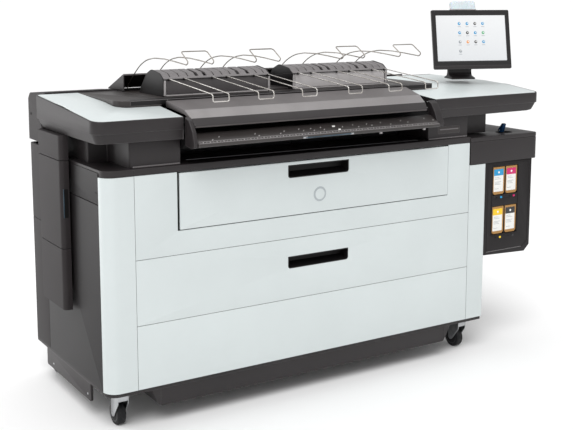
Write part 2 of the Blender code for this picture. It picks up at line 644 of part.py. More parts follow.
def make_scan_roller():
    """Rubber feed roller inside the scanner."""
    half = 0.510
    profile = [(-half, 0), (-half, 0.006), (-half + 0.012, 0.006), (-half + 0.012, 0.017)]
    profile += [(half - 0.012, 0.017), (half - 0.012, 0.006), (half, 0.006), (half, 0)]
    return paint(turned("scan_roller", profile, (-0.122, -0.240, 1.0170), "X", 16), DARKER, 0.8)


# ---------------------------------------------------------------- covers on the deck
def hump_outline():
    """Side profile (Y, Z) of a ribbed cover."""
    return [(-0.085, DECK_Z + GAP), (-0.088, 1.150), (-0.060, 1.166), (0.010, 1.176), (0.045, 1.160),
            (0.105, 1.100), (0.110, DECK_Z + GAP)]


def make_humps():
    """Two ribbed covers over the output path, each with its louvre slots."""
    covers = bmesh.new()
    slots = bmesh.new()
    add_box(covers, (HUMP_X[0][1] - 0.01, -0.060, DECK_Z + GAP), (HUMP_X[1][0] + 0.01, 0.090, DECK_Z + 0.006))
    sides = bmesh.new()
    for x0, x1 in HUMP_X:
        add_prism(sides, hump_outline(), "X", x0, x1)
        pitch = (x1 - x0 - 0.06) / HUMP_SLOTS
        for i in range(HUMP_SLOTS):
            x = x0 + 0.03 + pitch * (i + 0.5)
            add_box(slots, (x - 0.007, -0.050, 1.140), (x + 0.007, 0.030, 1.200))
    cover = link("louvre_covers", covers)
    boolean(cover, link("louvre_bodies", sides), "UNION")
    boolean(cover, link("louvre_slots", slots))
    return paint(cover, DARK, 0.55)


def make_output_hood():
    """Wedge-shaped hood over the rear print outlet, open towards the front."""
    x0, x1 = HOOD_X
    front, rear = 0.164, 0.311
    outline = [(front, DECK_Z + GAP), (front, 1.153), (rear, 1.0925), (rear, DECK_Z + GAP)]
    hood = prism("output_hood", outline, "X", x0, x1)
    wall = 0.004
    mouth = [(front - 0.02, DECK_Z - 0.01), (front - 0.02, 1.149), (front, 1.149), (rear - 0.012, 1.0905)]
    mouth += [(rear - 0.012, DECK_Z - 0.01)]
    boolean(hood, prism("hood_mouth", mouth, "X", x0 + wall, x1 - wall))
    return paint(hood, DARK, 0.5)


def front_loop(x, half):
    """Bent wire that leaves a cover, runs forward over the lid and turns down at its end."""
    root_y, root_z = FRONT_WIRE_ROOT
    side = [(root_y, root_z), (root_y - 0.010, root_z + 0.003), (FRONT_WIRE_Y + 0.006, 1.123)]
    side += [(FRONT_WIRE_Y, 1.118), (FRONT_WIRE_Y, 1.098)]
    left = [(x - half, y, z) for y, z in side]
    right = [(x + half, y, z) for y, z in side[::-1]]
    return left + right


def make_front_wires():
    """Six wire guides on one rail along the covers' front edge; they lift with the scanner lid."""
    guides = as_mesh(wire("front_wire_guides", [front_loop(x, 0.0295) for x in FRONT_WIRE_X]))
    root_y, root_z = FRONT_WIRE_ROOT
    low = (FRONT_WIRE_X[0] - 0.035, root_y - 0.0015, root_z - 0.0015)
    high = (FRONT_WIRE_X[-1] + 0.035, root_y + 0.0015, root_z + 0.0015)
    boolean(guides, box("front_wire_rail", low, high), "UNION")
    return paint(guides, STEEL, 0.25, 1.0)


def rear_loop(x, half):
    """Bent wire that rises out of the hood in an arch and turns back up in a U at its free end."""
    side = [(0.209, 1.093), (0.200, 1.110), (0.145, 1.151), (0.086, 1.190), (0.027, 1.211), (-0.035, 1.220)]
    side += [(-0.118, 1.221), (-0.192, 1.217), (-0.284, 1.210), (-0.300, 1.219), (-0.244, 1.252)]
    left = [(x - half, y, z) for y, z in side]
    right = [(x + half, y, z) for y, z in side[::-1]]
    return left + right


def make_rear_wires():
    guides = as_mesh(wire("rear_wire_guides", [rear_loop(x, 0.048) for x in REAR_WIRE_X]))
    low = (REAR_WIRE_X[0] - 0.055, 0.205, 1.0890)
    high = (REAR_WIRE_X[-1] + 0.055, 0.213, 1.0950)
    boolean(guides, box("rear_wire_rail", low, high), "UNION")
    return paint(guides, STEEL, 0.25, 1.0)


# ---------------------------------------------------------------- print path
def make_print_path():
    """Page-wide print bar and its drive roller, between the pillars."""
    bar = [(-0.060, 0.8885), (0.100, 0.8885), (0.100, 0.930), (-0.060, 0.930)]
    print_bar = prism("print_bar", bar, "X", -0.645, 0.400)
    paint(print_bar, MID, 0.4)
    half = 0.515
    profile = [(-half, 0), (-half, 0.006), (-half + 0.012, 0.006), (-half + 0.012, 0.018)]
    profile += [(half - 0.012, 0.018), (half - 0.012, 0.006), (half, 0.006), (half, 0)]
    paint(turned("drive_roller", profile, (-0.122, -0.120, 0.9045), "X", 16), DARKER, 0.8)


# ---------------------------------------------------------------- left side cover
def side_cover_plan(x_out):
    r = 0.016
    inner_x = BODY_LEFT - GAP
    front, rear = -0.034, 0.205
    outer = arc((x_out + r, front + r), r, 270, 180, 4)
    return [(inner_x, front)] + outer + [(x_out, rear - 0.025), (x_out + 0.020, rear), (inner_x, rear)]


def make_side_cover():
    """Bulged cover on the left: fixed top and foot with a hinged door between them."""
    plan = side_cover_plan(-HALF_W)
    bm = bmesh.new()
    add_prism(bm, plan, "Z", 0.885 + SEAM / 2, WING_Z0 - SEAM)
    add_prism(bm, plan, "Z", 0.364, 0.580 - SEAM / 2)
    cover = link("side_cover", bm)
    spine = box("side_cover_spine", (BODY_LEFT - 0.009, 0.010, 0.5), (BODY_LEFT - GAP, 0.175, 0.93))
    paint(boolean(cover, spine, "UNION"), DARK, 0.55)
    hinge = Vector((-HALF_W + 0.020, 0.200, 0.580))
    door = prism("side_door", plan, "Z", 0.580 + SEAM / 2, 0.885 - SEAM / 2, origin=hinge)
    behind = box("side_door_inside", (BODY_LEFT - 0.0105, -0.1, 0.5), (BODY_LEFT + 0.01, 0.3, 0.93))
    boolean(door, behind)
    slot = box("side_door_slot", (-0.990, -0.050, 0.693), (-0.950, -0.022, 0.785))
    boolean(door, slot)
    paint(door, DARK, 0.55)


# ---------------------------------------------------------------- ink bay
def make_ink_cabinet():
    """Ink cabinet on the right: an open bay for four cartridges."""
    x0, x1 = INK_X
    z0, z1 = INK_Z
    outline = [(x0 + GAP, z0 + 0.010), (x1 - 0.028, z0), (x1, z0 + 0.026), (x1, z1), (x0 + GAP, z1)]
    cabinet = prism("ink_cabinet", outline, "Y", FRONT_Y + 0.004, INK_REAR_Y)
    bays = bmesh.new()
    width, _, height = CART_SIZE
    for x in CART_X:
        for z in CART_Z:
            low = (x - 0.003, FRONT_Y - 0.02, z - 0.003)
            high = (x + width + 0.003, FRONT_Y + 0.250, z + height + 0.003)
            add_box(bays, low, high)
    boolean(cabinet, link("ink_bays", bays))
    return paint(cabinet, DARK, 0.5)


def make_cartridges():
    """Card-cased ink cartridges with cut lower corners, one in each bay."""
    width, depth, height = CART_SIZE
    cut = 0.008
    places = [(column, row) for row in (0, 1) for column in (0, 1)]
    for ink, (column, row) in zip(("cyan", "magenta", "yellow", "black"), places):
        x, z = CART_X[column], CART_Z[row]
        outline = [(x, z + cut), (x + cut, z), (x + width - cut, z), (x + width, z + cut)]
        outline += [(x + width, z + height), (x, z + height)]
        front = FRONT_Y + 0.006
        case = prism(f"cartridge_{ink}", outline, "Y", front, front + depth)
        paint(case, KRAFT, 0.8)


def make_ink_top():
    """Dark box over the ink cabinet, with a shallow well for the lever."""
    x0, x1 = INK_TOP_X
    r = 0.020
    corner = arc((x1 - r, FRONT_Y + r), r, 270, 360, 5)
    plan = [(x0, FRONT_Y)] + corner + [(x1, INK_REAR_Y), (x0, INK_REAR_Y)]
    top = prism("ink_top_box", plan, "Z", *INK_TOP_Z)
    well = arc((0.853, -0.240), 0.030, 0, 360, 16)[:-1]
    boolean(top, prism("lever_well", well, "Z", INK_TOP_Z[1] - 0.008, INK_TOP_Z[1] + 0.05))
    paint(top, DARK, 0.5)
    hinge = Vector((0.853, -0.222, INK_TOP_Z[1] + 0.005))
    lever = [(-0.230, 0.875), (-0.214, 0.875), (-0.213, 0.886)]
    lever += [(-0.235, 0.915), (-0.246, 0.912), (-0.236, 0.884)]
    paint(prism("ink_lever", lever, "X", 0.845, 0.861, origin=hinge), (0.01, 0.02, 0.06), 0.4)


# ---------------------------------------------------------------- monitor
def monitor_frame():
    """Matrix that places a piece drawn upright at the origin, facing -Y, at the monitor's rest pose."""
    turn = Matrix.Rotation(MONITOR_YAW, 4, "Z") @ Matrix.Rotation(-MONITOR_TILT, 4, "X")
    return Matrix.Translation(MONITOR_CENTRE) @ turn


def make_monitor():
    width, depth, height = MONITOR_SIZE
    place = monitor_frame()
    pivot = place @ Vector((0, depth + 0.012, -0.050))

    def place_box(name, low, high, colour, roughness):
        bm = bmesh.new()
        add_box(bm, low, high)
        bmesh.ops.transform(bm, matrix=place, verts=bm.verts)
        obj = link(name, bm, pivot)
        return paint(obj, colour, roughness)

    half, tall = width / 2, height / 2
    housing = place_box("monitor_housing", (-half, 0, -tall), (half, depth, tall), DARKER, 0.3)
    low, high = (-half + 0.018, -0.01, -tall + 0.030), (half - 0.018, 0.004, tall - 0.022)
    recess = place_box("screen_recess", low, high, DARKER, 0.3)
    boolean(housing, recess)
    lugs = bmesh.new()
    for x in (-0.042, 0.036):
        add_box(lugs, (x, depth - 0.002, -0.060), (x + 0.006, depth + 0.020, -0.040))
    bmesh.ops.transform(lugs, matrix=place, verts=lugs.verts)
    boolean(housing, link("monitor_lugs", lugs), "UNION")
    place_box("screen", (-half + 0.0185, 0.001, -tall + 0.0305), (half - 0.0185, 0.0036, tall - 0.0225),
              (0.72, 0.76, 0.80), 0.15)
    place_box("status_beacon", (-0.083, 0.002, tall + GAP), (0.026, depth - 0.004, tall + 0.039),
              (0.70, 0.78, 0.84), 0.2)
    return pivot


def make_neck(pivot):
    """Foot plate and flat arm that carry the monitor on the right wing."""
    bm = bmesh.new()
    turn = Matrix.Translation(NECK_AXIS) @ Matrix.Rotation(MONITOR_YAW, 4, "Z")
    hinge = turn.inverted() @ pivot
    top = hinge.z + 0.008
    outline = [(-0.040, 0.0045), (0.045, 0.0045), (0.045, 0.014), (0.020, 0.018), (0.016, top)]
    outline += [(0.000, top), (-0.004, 0.018), (-0.040, 0.014)]
    add_prism(bm, outline, "X", -0.052, 0.052)
    bmesh.ops.transform(bm, matrix=turn, verts=bm.verts)
    neck = link("monitor_neck", bm, NECK_AXIS)
    knuckle = bmesh.new()
    barrel = arc((hinge.y, hinge.z), 0.007, 90, 270, 6) + [(0.008, hinge.z - 0.007), (0.008, hinge.z + 0.007)]
    add_prism(knuckle, barrel, "X", hinge.x - 0.034, hinge.x + 0.034)
    bmesh.ops.transform(knuckle, matrix=turn, verts=knuckle.verts)
    boolean(neck, link("neck_knuckle", knuckle), "UNION")
    return paint(neck, DARK, 0.4)


# ---------------------------------------------------------------- casters
def make_caster(tag, x, y, brake):
    """Swivel fork with top plate, and a wheel on its own axle."""
    axle = Vector((x, y + CASTER_TRAIL, WHEEL_R))
    top = BASE_Z - GAP
    half = WHEEL_W / 2
    bm = bmesh.new()
    add_box(bm, (x - 0.030, y - 0.030, top - 0.004), (x + 0.030, y + 0.030, top))
    plate = link(f"caster_fork_{tag}", bm, (x, y, top))
    cheeks = bmesh.new()
    for low_x in (x - half - 0.0050, x + half + 0.0020):
        side = [(y - 0.022, top - 0.002), (y - 0.018, 0.082), (axle.y - 0.012, 0.030)]
        side += [(axle.y + 0.012, 0.030), (axle.y + 0.012, 0.080), (y + 0.024, top - 0.002)]
        add_prism(cheeks, side, "X", low_x, low_x + 0.0030)
    boolean(plate, link(f"fork_sides_{tag}", cheeks), "UNION")
    span = half + 0.0045
    crown = box(f"fork_crown_{tag}", (x - span, y - 0.020, 0.092), (x + span, y + 0.023, top - 0.002))
    boolean(plate, crown, "UNION")
    if brake:
        pedal = [(axle.y + 0.006, 0.0860), (axle.y + 0.050, 0.0720)]
        pedal += [(axle.y + 0.052, 0.0780), (axle.y - 0.010, 0.0975)]
        boolean(plate, prism(f"brake_{tag}", pedal, "X", x - span, x + span), "UNION")
    paint(plate, STEEL, 0.4, 0.9)
    tread = WHEEL_R / math.cos(math.pi / WHEEL_SIDES)
    profile = [(-half, 0), (-half, tread - 0.003), (-half + 0.003, tread), (half - 0.003, tread)]
    profile += [(half, tread - 0.003), (half, 0)]
    paint(turned(f"caster_wheel_{tag}", profile, axle, "X", WHEEL_SIDES), DARKER, 0.6)


def make_casters():
    for side, x in zip(("left", "right"), CASTER_X):
        for end, y in zip(("front", "rear"), CASTER_Y):
            make_caster(f"{end}_{side}", x, y, end == "front")


# ---------------------------------------------------------------- the whole machine
def carry_all():
    """Parent every piece to one empty and move it so that the box is centred."""
    carrier = bpy.data.objects.new("machine", None)
    bpy.context.scene.collection.objects.link(carrier)
    for obj in list(bpy.data.objects):
        if obj is not carrier:
            obj.parent = carrier
    carrier.location.y = FORE_AFT_SHIFT


def main():
    clear_scene()
    make_chassis()
    make_base_pan()
    make_side_panels()
    make_rear_panel()
    make_columns()
    make_front_panels()
    make_sill()
    make_drawers()
    make_pillars()
    make_left_wing()
    make_right_wing()
    make_deck()
    make_scanner_bed()
    make_cheeks()
    make_feed_table()
    make_scanner_lid()
    make_scan_roller()
    make_humps()
    make_output_hood()
    make_front_wires()
    make_rear_wires()
    make_print_path()
    make_side_cover()
    make_ink_cabinet()
    make_cartridges()
    make_ink_top()
    make_neck(make_monitor())
    make_casters()
    carry_all()


main()
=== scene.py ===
"""Looks of the large format plotter: finished surfaces, materials, floor, light and camera.

+Z up, front towards -Y.  Shapes are worked out in millimetres in the body's own measure, whose fore-and-aft
zero is the body's middle, and `piece` carries them to the frame's metres.
"""
import json
import math

import bmesh
import bpy
import numpy as np
from mathutils import Matrix, Vector

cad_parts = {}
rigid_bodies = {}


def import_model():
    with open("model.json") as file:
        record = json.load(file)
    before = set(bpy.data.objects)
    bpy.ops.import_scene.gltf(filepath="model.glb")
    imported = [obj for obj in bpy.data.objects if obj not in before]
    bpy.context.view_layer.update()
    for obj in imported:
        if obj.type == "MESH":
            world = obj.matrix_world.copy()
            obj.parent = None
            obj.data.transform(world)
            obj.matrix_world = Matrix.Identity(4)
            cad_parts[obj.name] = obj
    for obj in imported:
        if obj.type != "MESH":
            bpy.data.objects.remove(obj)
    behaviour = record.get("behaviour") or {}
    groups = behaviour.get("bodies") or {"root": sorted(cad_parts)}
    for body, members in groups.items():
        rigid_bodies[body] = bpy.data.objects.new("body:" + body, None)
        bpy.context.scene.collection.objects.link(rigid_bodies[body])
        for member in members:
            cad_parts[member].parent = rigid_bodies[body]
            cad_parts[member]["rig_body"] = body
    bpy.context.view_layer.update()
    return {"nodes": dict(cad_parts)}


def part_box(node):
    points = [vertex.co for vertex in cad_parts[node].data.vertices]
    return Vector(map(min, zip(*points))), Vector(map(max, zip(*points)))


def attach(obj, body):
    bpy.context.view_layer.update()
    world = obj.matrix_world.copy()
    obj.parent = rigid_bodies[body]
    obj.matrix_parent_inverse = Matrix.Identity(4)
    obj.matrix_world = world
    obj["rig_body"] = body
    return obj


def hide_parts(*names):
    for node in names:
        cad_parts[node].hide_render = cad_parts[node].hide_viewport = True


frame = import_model()

MM = 0.001
FRONT_Y = -315                                                 # white front plane, from the body's middle
FORE_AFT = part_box("bottom_front_panel")[0].y - FRONT_Y * MM    # body's middle to the frame's origin, metres


def box(node):
    """Lowest and highest corner of a CAD node in the body's millimetres."""
    low, high = (np.array(corner) - [0, FORE_AFT, 0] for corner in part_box(node))
    return low / MM, high / MM


# ---- shapes
def unit(vectors):
    """Vectors divided by their lengths."""
    return vectors / np.maximum(np.linalg.norm(vectors, axis=-1, keepdims=True), 1e-12)


def rounded(points, radius, steps=6, closed=True, share=1.0):
    """Outline or path with its corners turned to arcs of `radius`, one value or one for each corner.

    The arc's centre lies on the corner's bisector, radius / sin(half angle) away.  The arc leaves each side
    radius / tan(half angle) from the corner, and that length is held to `share` of the shorter side.
    """
    p = np.asarray(points, float)
    back, ahead = np.roll(p, 1, 0) - p, np.roll(p, -1, 0) - p
    room = share * np.minimum(np.linalg.norm(back, axis=1), np.linalg.norm(ahead, axis=1))
    back, ahead = unit(back), unit(ahead)
    half = np.arccos(np.clip((back * ahead).sum(1), -1, 1)) / 2
    half = np.clip(half, 0.02, math.pi / 2 - 1e-6)
    r = np.minimum(np.broadcast_to(np.asarray(radius, float), len(p)), room * np.tan(half))
    if not closed:
        r = np.where((np.arange(len(p)) == 0) | (np.arange(len(p)) == len(p) - 1), 0, r)
    centre = p + unit(back + ahead) * (r / np.sin(half))[:, None]
    leave = p + back * (r / np.tan(half))[:, None] - centre
    arrive = p + ahead * (r / np.tan(half))[:, None] - centre
    turn = (math.pi - 2 * half)[:, None]
    t = np.linspace(0, 1, steps + 1)[None]
    arcs = (np.sin((1 - t) * turn) / np.sin(turn))[..., None] * leave[:, None]
    arcs = arcs + (np.sin(t * turn) / np.sin(turn))[..., None] * arrive[:, None]
    flat = (centre[:, None] + arcs).reshape(-1, p.shape[1])
    step = np.linalg.norm(flat - np.roll(flat, 1, 0), axis=1)
    return flat[step > 1e-4]


def inward(outline):
    """For each point of a closed outline, the step that moves both its edges in by one unit."""
    edge = unit(np.roll(outline, -1, 0) - outline)
    normal = np.stack([-edge[:, 1], edge[:, 0]], 1)
    before = np.roll(normal, 1, 0)
    following = np.roll(outline, -1, 0)
    area = (outline[:, 0] * following[:, 1] - following[:, 0] * outline[:, 1]).sum()
    cosine = np.maximum(1 + (normal * before).sum(1, keepdims=True), 0.4)
    return math.copysign(1, area) * (normal + before) / cosine


def reach(outline):
    """How far each point can go inwards before the arc it lies on closes up: about that arc's radius.

    The radius is the shorter edge beside the point over the turn at it; an arc's ends take their neighbour's.
    """
    edge = np.roll(outline, -1, 0) - outline
    before = np.roll(edge, 1, 0)
    following = np.roll(outline, -1, 0)
    area = (outline[:, 0] * following[:, 1] - following[:, 0] * outline[:, 1]).sum()
    cross = before[:, 0] * edge[:, 1] - before[:, 1] * edge[:, 0]
    turn = np.arctan2(cross * math.copysign(1, area), (before * edge).sum(1))
    length = np.linalg.norm(edge, axis=1)
    radius = 0.95 * np.minimum(length, np.roll(length, 1)) / np.maximum(turn, 1e-6)
    return np.minimum(radius, np.minimum(np.roll(radius, 1), np.roll(radius, -1)))


def drawn_in(outline, insets):
    """Rings of an outline moved inwards by each inset, held where an arc would close up."""
    held = np.minimum(insets[:, None], reach(outline)[None])
    return outline[None] + held[..., None] * inward(outline)[None]


def rings(grid, caps=True, around=False):
    """Shell from a grid whose rows are closed rings: quads join each ring to the next one.

    The first and last ring are filled when `caps`, or joined to each other when `around`.
    """
    rows, count = grid.shape[:2]
    i = np.arange(rows * count).reshape(rows, count)
    if around:
        i = np.concatenate([i, i[:1]])
        caps = False
    j = np.roll(i, -1, 1)
    faces = np.stack([i[:-1], j[:-1], j[1:], i[1:]], -1).reshape(-1, 4).tolist()
    if caps:
        faces += [i[0, ::-1].tolist(), i[-1].tolist()]
    return grid.reshape(-1, 3), faces


def lift(flat, places, axis):
    """2-D rows put across `axis` at the given places: the other two axes take them in X, Y, Z order."""
    along = "XYZ".index(axis)
    return np.insert(flat, along, np.broadcast_to(places[:, None], flat.shape[:2]), axis=2)


def eased_ends(low, high, soft, steps=3):
    """Inset and place of each ring from low to high with a quarter-round edge at both ends.

    A ring is inset by soft (1 - sin a) at soft (1 - cos a) from its end.
    """
    a = np.linspace(0, math.pi / 2, steps + 1)
    inset = soft * (1 - np.sin(a))
    depth = soft * (1 - np.cos(a))
    return np.concatenate([inset, inset[::-1]]), np.concatenate([low + depth, high - depth[::-1]])


def slab(outline, axis, low, high, soft=1.5):
    """Outline carried straight along an axis, with a quarter-round edge of radius `soft` at both ends."""
    outline = np.asarray(outline, float)
    insets, places = eased_ends(low, high, soft)
    return rings(lift(drawn_in(outline, insets), places, axis))


def window(outline, hole, axis, low, high, soft=1.5):
    """Slab with a hole of the same number of points.

    The surface goes up the outline, over its edge, across the face, down the hole and back underneath.
    """
    insets, places = eased_ends(low, high, soft)
    outer = drawn_in(outline, insets)
    inner = hole[None] - insets[::-1, None, None] * inward(hole)[None]
    flat = np.concatenate([outer, inner])
    return rings(lift(flat, np.concatenate([places, places[::-1]]), axis), around=True)


def turned(profile, centre, axis, sides=48):
    """Profile of (place along the axis, radius) turned about it: x = r cos a, y = r sin a."""
    profile = np.asarray(profile, float)
    a = np.linspace(0, 2 * math.pi, sides, endpoint=False)
    radius = np.maximum(profile[:, 1], 0.01)[:, None]
    flat = np.stack([radius * np.cos(a), radius * np.sin(a)], -1)
    return rings(lift(flat, profile[:, 0], axis) + np.asarray(centre, float))


def tube(path, radius, sides=10):
    """Round bar along a path: each ring is a circle across the path's tangent.

    A ring's first direction is the last ring's less its part along the new tangent, so the bar doesn't twist.
    """
    path = np.asarray(path, float)
    tangent = unit(np.gradient(path, axis=0))
    side = unit(np.cross(tangent[0], [0.31, 0.17, 0.93]))
    sides_first = []
    for t in tangent:
        side = unit(side - t * (side @ t))
        sides_first.append(side)
    first = np.array(sides_first)
    second = np.cross(tangent, first)
    a = np.linspace(0, 2 * math.pi, sides, endpoint=False)
    ring = first[:, None] * np.cos(a)[None, :, None] + second[:, None] * np.sin(a)[None, :, None]
    return rings(path[:, None] + radius * ring)


def rectangle(x0, x1, y0, y1, radius=0.0, steps=4):
    """Rectangle with rounded corners; `radius` may be a list, from (x0, y0) by (x1, y0)."""
    return rounded([(x0, y0), (x1, y0), (x1, y1), (x0, y1)], np.maximum(radius, 0.2), steps)


def plate(axis, a0, a1, b0, b1, low, high, corner, soft):
    """Slab across `axis` over the rectangle from a0 to a1 and b0 to b1 along the other two axes."""
    return slab(rectangle(a0, a1, b0, b1, corner), axis, low, high, soft)


def placed(shell, matrix):
    """Shell moved by a 4 x 4 matrix."""
    matrix = np.array(matrix, float)
    return shell[0] @ matrix[:3, :3].T + matrix[:3, 3], shell[1]


def piece(name, body, slot, parts, *stands_for, crease=38):
    """One finished object from (shell, material) parts, riding on a CAD body.

    Doubles are merged and faces turned outwards; edges flatter than `crease` degrees are smooth.
    """
    mesh = bpy.data.meshes.new(name)
    points, faces, finish, materials = [], [], [], []
    start = 0
    for (verts, polygons), material in parts:
        if material not in materials:
            materials.append(material)
        points.append(verts)
        faces += [[start + k for k in face] for face in polygons]
        finish += [materials.index(material)] * len(polygons)
        start += len(verts)
    placed_points = np.concatenate(points) * MM + [0, FORE_AFT, 0]
    mesh.from_pydata(placed_points.tolist(), [], faces)
    mesh.polygons.foreach_set("material_index", finish)
    finished(name, mesh, body, materials, stands_for, crease)


def finished(name, mesh, body, materials, stands_for, crease=38, bevel=0):
    """Cleans the mesh, links it, gives it its materials and bevel, and has it ride on the body."""
    bm = bmesh.new()
    bm.from_mesh(mesh)
    bmesh.ops.remove_doubles(bm, verts=bm.verts, dist=0.000001)
    bmesh.ops.dissolve_degenerate(bm, edges=bm.edges, dist=0.000001)
    bmesh.ops.recalc_face_normals(bm, faces=bm.faces)
    bm.to_mesh(mesh)
    bm.free()
    obj = bpy.data.objects.new(name, mesh)
    bpy.context.scene.collection.objects.link(obj)
    for material in materials:
        mesh.materials.append(material)
    mesh.shade_smooth()
    if bevel:
        mod = obj.modifiers.new("soft_edges", "BEVEL")
        mod.width = bevel * MM
        mod.segments = 2
        mod.limit_method = "ANGLE"
        mod.angle_limit = math.radians(crease)
        mod.harden_normals = True
    else:
        mesh.set_sharp_from_angle(angle=math.radians(crease))
    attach(obj, body)
    if stands_for:
        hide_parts(*stands_for)


def softened(node, material, bevel=1.2):
    """Finished copy of a CAD node whose shape is right: merged, flat faces joined, and its edges softened."""
    cad = frame["nodes"][node]
    mesh = cad.data.copy()
    mesh.materials.clear()
    bm = bmesh.new()
    bm.from_mesh(mesh)
    bmesh.ops.remove_doubles(bm, verts=bm.verts, dist=0.000005)
    bmesh.ops.dissolve_limit(bm, angle_limit=math.radians(0.5), verts=bm.verts, edges=bm.edges)
    bm.to_mesh(mesh)
    bm.free()
    finished(node + "_finish", mesh, cad["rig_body"], [material], [node], bevel=bevel)


# ---- materials
def colour(text):
    """sRGB hex text to linear red, green, blue, alpha."""
    levels = [int(text[i:i + 2], 16) / 255 for i in (1, 3, 5)]
    return [c / 12.92 if c <= 0.04045 else ((c + 0.055) / 1.055) ** 2.4 for c in levels] + [1.0]


def per_mm(size):
    """Noise scale that gives features of about `size` millimetres on Object coordinates in metres."""
    return 1 / (size * MM)


def add(tree, kind, inputs=(), out=None, **settings):
    """Adds a node and returns its output `out`, or the first one in use.

    `settings` are its own values; `inputs` gives each socket a value or another node's output.
    """
    made = tree.nodes.new("ShaderNode" + kind)
    for name, value in settings.items():
        setattr(made, name, value)
    for name, value in dict(inputs).items():
        if isinstance(value, bpy.types.NodeSocket):
            tree.links.new(value, made.inputs[name])
        else:
            made.inputs[name].default_value = value
    return made.outputs[out] if out else next(socket for socket in made.outputs if socket.enabled)


def surface(name, **shader_values):
    """New material: its tree, its Principled shader and the Object coordinates."""
    material = bpy.data.materials.new(name)
    material.use_nodes = True
    tree = material.node_tree
    shader = tree.nodes["Principled BSDF"]
    for socket, value in shader_values.items():
        shader.inputs[socket.replace("_", " ")].default_value = value
    where = add(tree, "TexCoord", out="Object")
    return material, tree, shader, where


def drive(tree, shader, relief=None, **outputs):
    """Links node outputs to the shader's sockets; `relief` is (height output, strength, metres)."""
    if relief:
        height, strength, distance = relief
        bump = {"Height": height, "Strength": strength, "Distance": distance}
        outputs["Normal"] = add(tree, "Bump", bump)
    for socket, output in outputs.items():
        tree.links.new(output, shader.inputs[socket.replace("_", " ")])


def painted_edge_highlight(tree, radius_mm, reach=0.22):
    """Mask for a painted highlight on edges: 0 on flat faces, 1 on edges, by how far the rounded normal of a
    small radius leans from the true one.
    """
    soft = add(tree, "Bevel", {"Radius": radius_mm * MM}, samples=4)
    true = add(tree, "NewGeometry", out="Normal")
    lean = add(tree, "VectorMath", {0: soft, 1: true}, operation="DOT_PRODUCT")
    span = {"Value": lean, "From Min": 1.0, "From Max": 1.0 - reach}
    return add(tree, "MapRange", span)


def moulded(name, base, pale, roughness, grain_mm=1.6, edge_highlight_mm=2.6, edge_highlight_gain=0.6, relief=0.05,
            **shader_values):
    """Injection-moulded plastic: spark-eroded grain in the gloss and relief, slow clouding of the tone from
    the flow of the melt, and a painted highlight that mixes the edges towards a paler colour.
    The real grain is near 0.3 mm."""
    material, tree, shader, where = surface(name, **shader_values)
    grain = add(tree, "TexNoise", {"Vector": where, "Scale": per_mm(grain_mm), "Detail": 3.0})
    cloud = add(tree, "TexNoise", {"Vector": where, "Scale": per_mm(180), "Detail": 4.0, "Roughness": 0.6})
    tone = add(tree, "MapRange", {"Value": cloud, "From Min": 0.3, "From Max": 0.7,
                                  "To Min": 0.90, "To Max": 1.10})
    speck = add(tree, "MapRange", {"Value": grain, "To Min": 0.94, "To Max": 1.06})
    both = add(tree, "Math", {0: tone, 1: speck}, operation="MULTIPLY")
    plain = add(tree, "VectorMath", {0: colour(base)[:3], "Scale": both}, operation="SCALE")
    # painted highlight: the edge mask mixes the colour towards the paler one
    edge = add(tree, "Math", {0: painted_edge_highlight(tree, edge_highlight_mm), 1: edge_highlight_gain}, operation="MULTIPLY",
               use_clamp=True)
    mixed = add(tree, "Mix", {0: edge, 6: plain, 7: colour(pale)}, data_type="RGBA")
    gloss = add(tree, "MapRange", {"Value": grain, "To Min": roughness - 0.06, "To Max": roughness + 0.06})
    drive(tree, shader, (grain, relief, 0.0004), Base_Color=mixed, Roughness=gloss)
    return material


def powder_coated_steel(name, base, pale):
    """Powder-coated sheet steel, cool white: a faint orange peel of 3 mm that breaks the highlights, a smudgy
    clouding in the gloss, and a painted highlight that makes the edges paler."""
    material, tree, shader, where = surface(name, Specular_IOR_Level=0.45, Coat_Weight=0.12,
                                            Coat_Roughness=0.18)
    peel = add(tree, "TexNoise", {"Vector": where, "Scale": per_mm(3), "Detail": 2.0})
    smudge = add(tree, "TexNoise", {"Vector": where, "Scale": per_mm(260), "Detail": 5.0, "Roughness": 0.62})
    tone = add(tree, "MapRange", {"Value": smudge, "From Min": 0.3, "From Max": 0.7,
                                  "To Min": 0.975, "To Max": 1.02})
    plain = add(tree, "VectorMath", {0: colour(base)[:3], "Scale": tone}, operation="SCALE")
    # painted highlight: edges are mixed towards the paler colour
    mixed = add(tree, "Mix", {0: painted_edge_highlight(tree, 2.0), 6: plain, 7: colour(pale)}, data_type="RGBA")
    gloss = add(tree, "MapRange", {"Value": smudge, "To Min": 0.34, "To Max": 0.50})
    drive(tree, shader, (peel, 0.05, 0.0003), Base_Color=mixed, Roughness=gloss)
    return material


def plated_metal(name, base, dull, roughness, spread, grain_mm, stretch=(1, 1, 1)):
    """Plated or galvanised metal: crystals or draw lines a few millimetres across vary tone and gloss; a slow
    stain dulls the plating.  `stretch` draws the grain out along the way the metal was worked."""
    material, tree, shader, where = surface(name, Metallic=1.0)
    way = add(tree, "Mapping", {"Vector": where, "Scale": stretch})
    grain = add(tree, "TexNoise", {"Vector": way, "Scale": per_mm(grain_mm), "Detail": 4.0})
    stain = add(tree, "TexNoise", {"Vector": where, "Scale": per_mm(70), "Detail": 3.0})
    amount = add(tree, "MapRange", {"Value": stain, "From Min": 0.35, "From Max": 0.75})
    tint = add(tree, "Mix", {0: amount, 6: colour(base), 7: colour(dull)}, data_type="RGBA")
    light = add(tree, "MapRange", {"Value": grain, "To Min": 0.85, "To Max": 1.12})
    toned = add(tree, "VectorMath", {0: tint, "Scale": light}, operation="SCALE")
    gloss = add(tree, "MapRange", {"Value": grain, "To Min": roughness - spread,
                                   "To Max": roughness + spread})
    drive(tree, shader, (grain, 0.08, 0.0002), Base_Color=toned, Roughness=gloss)
    return material


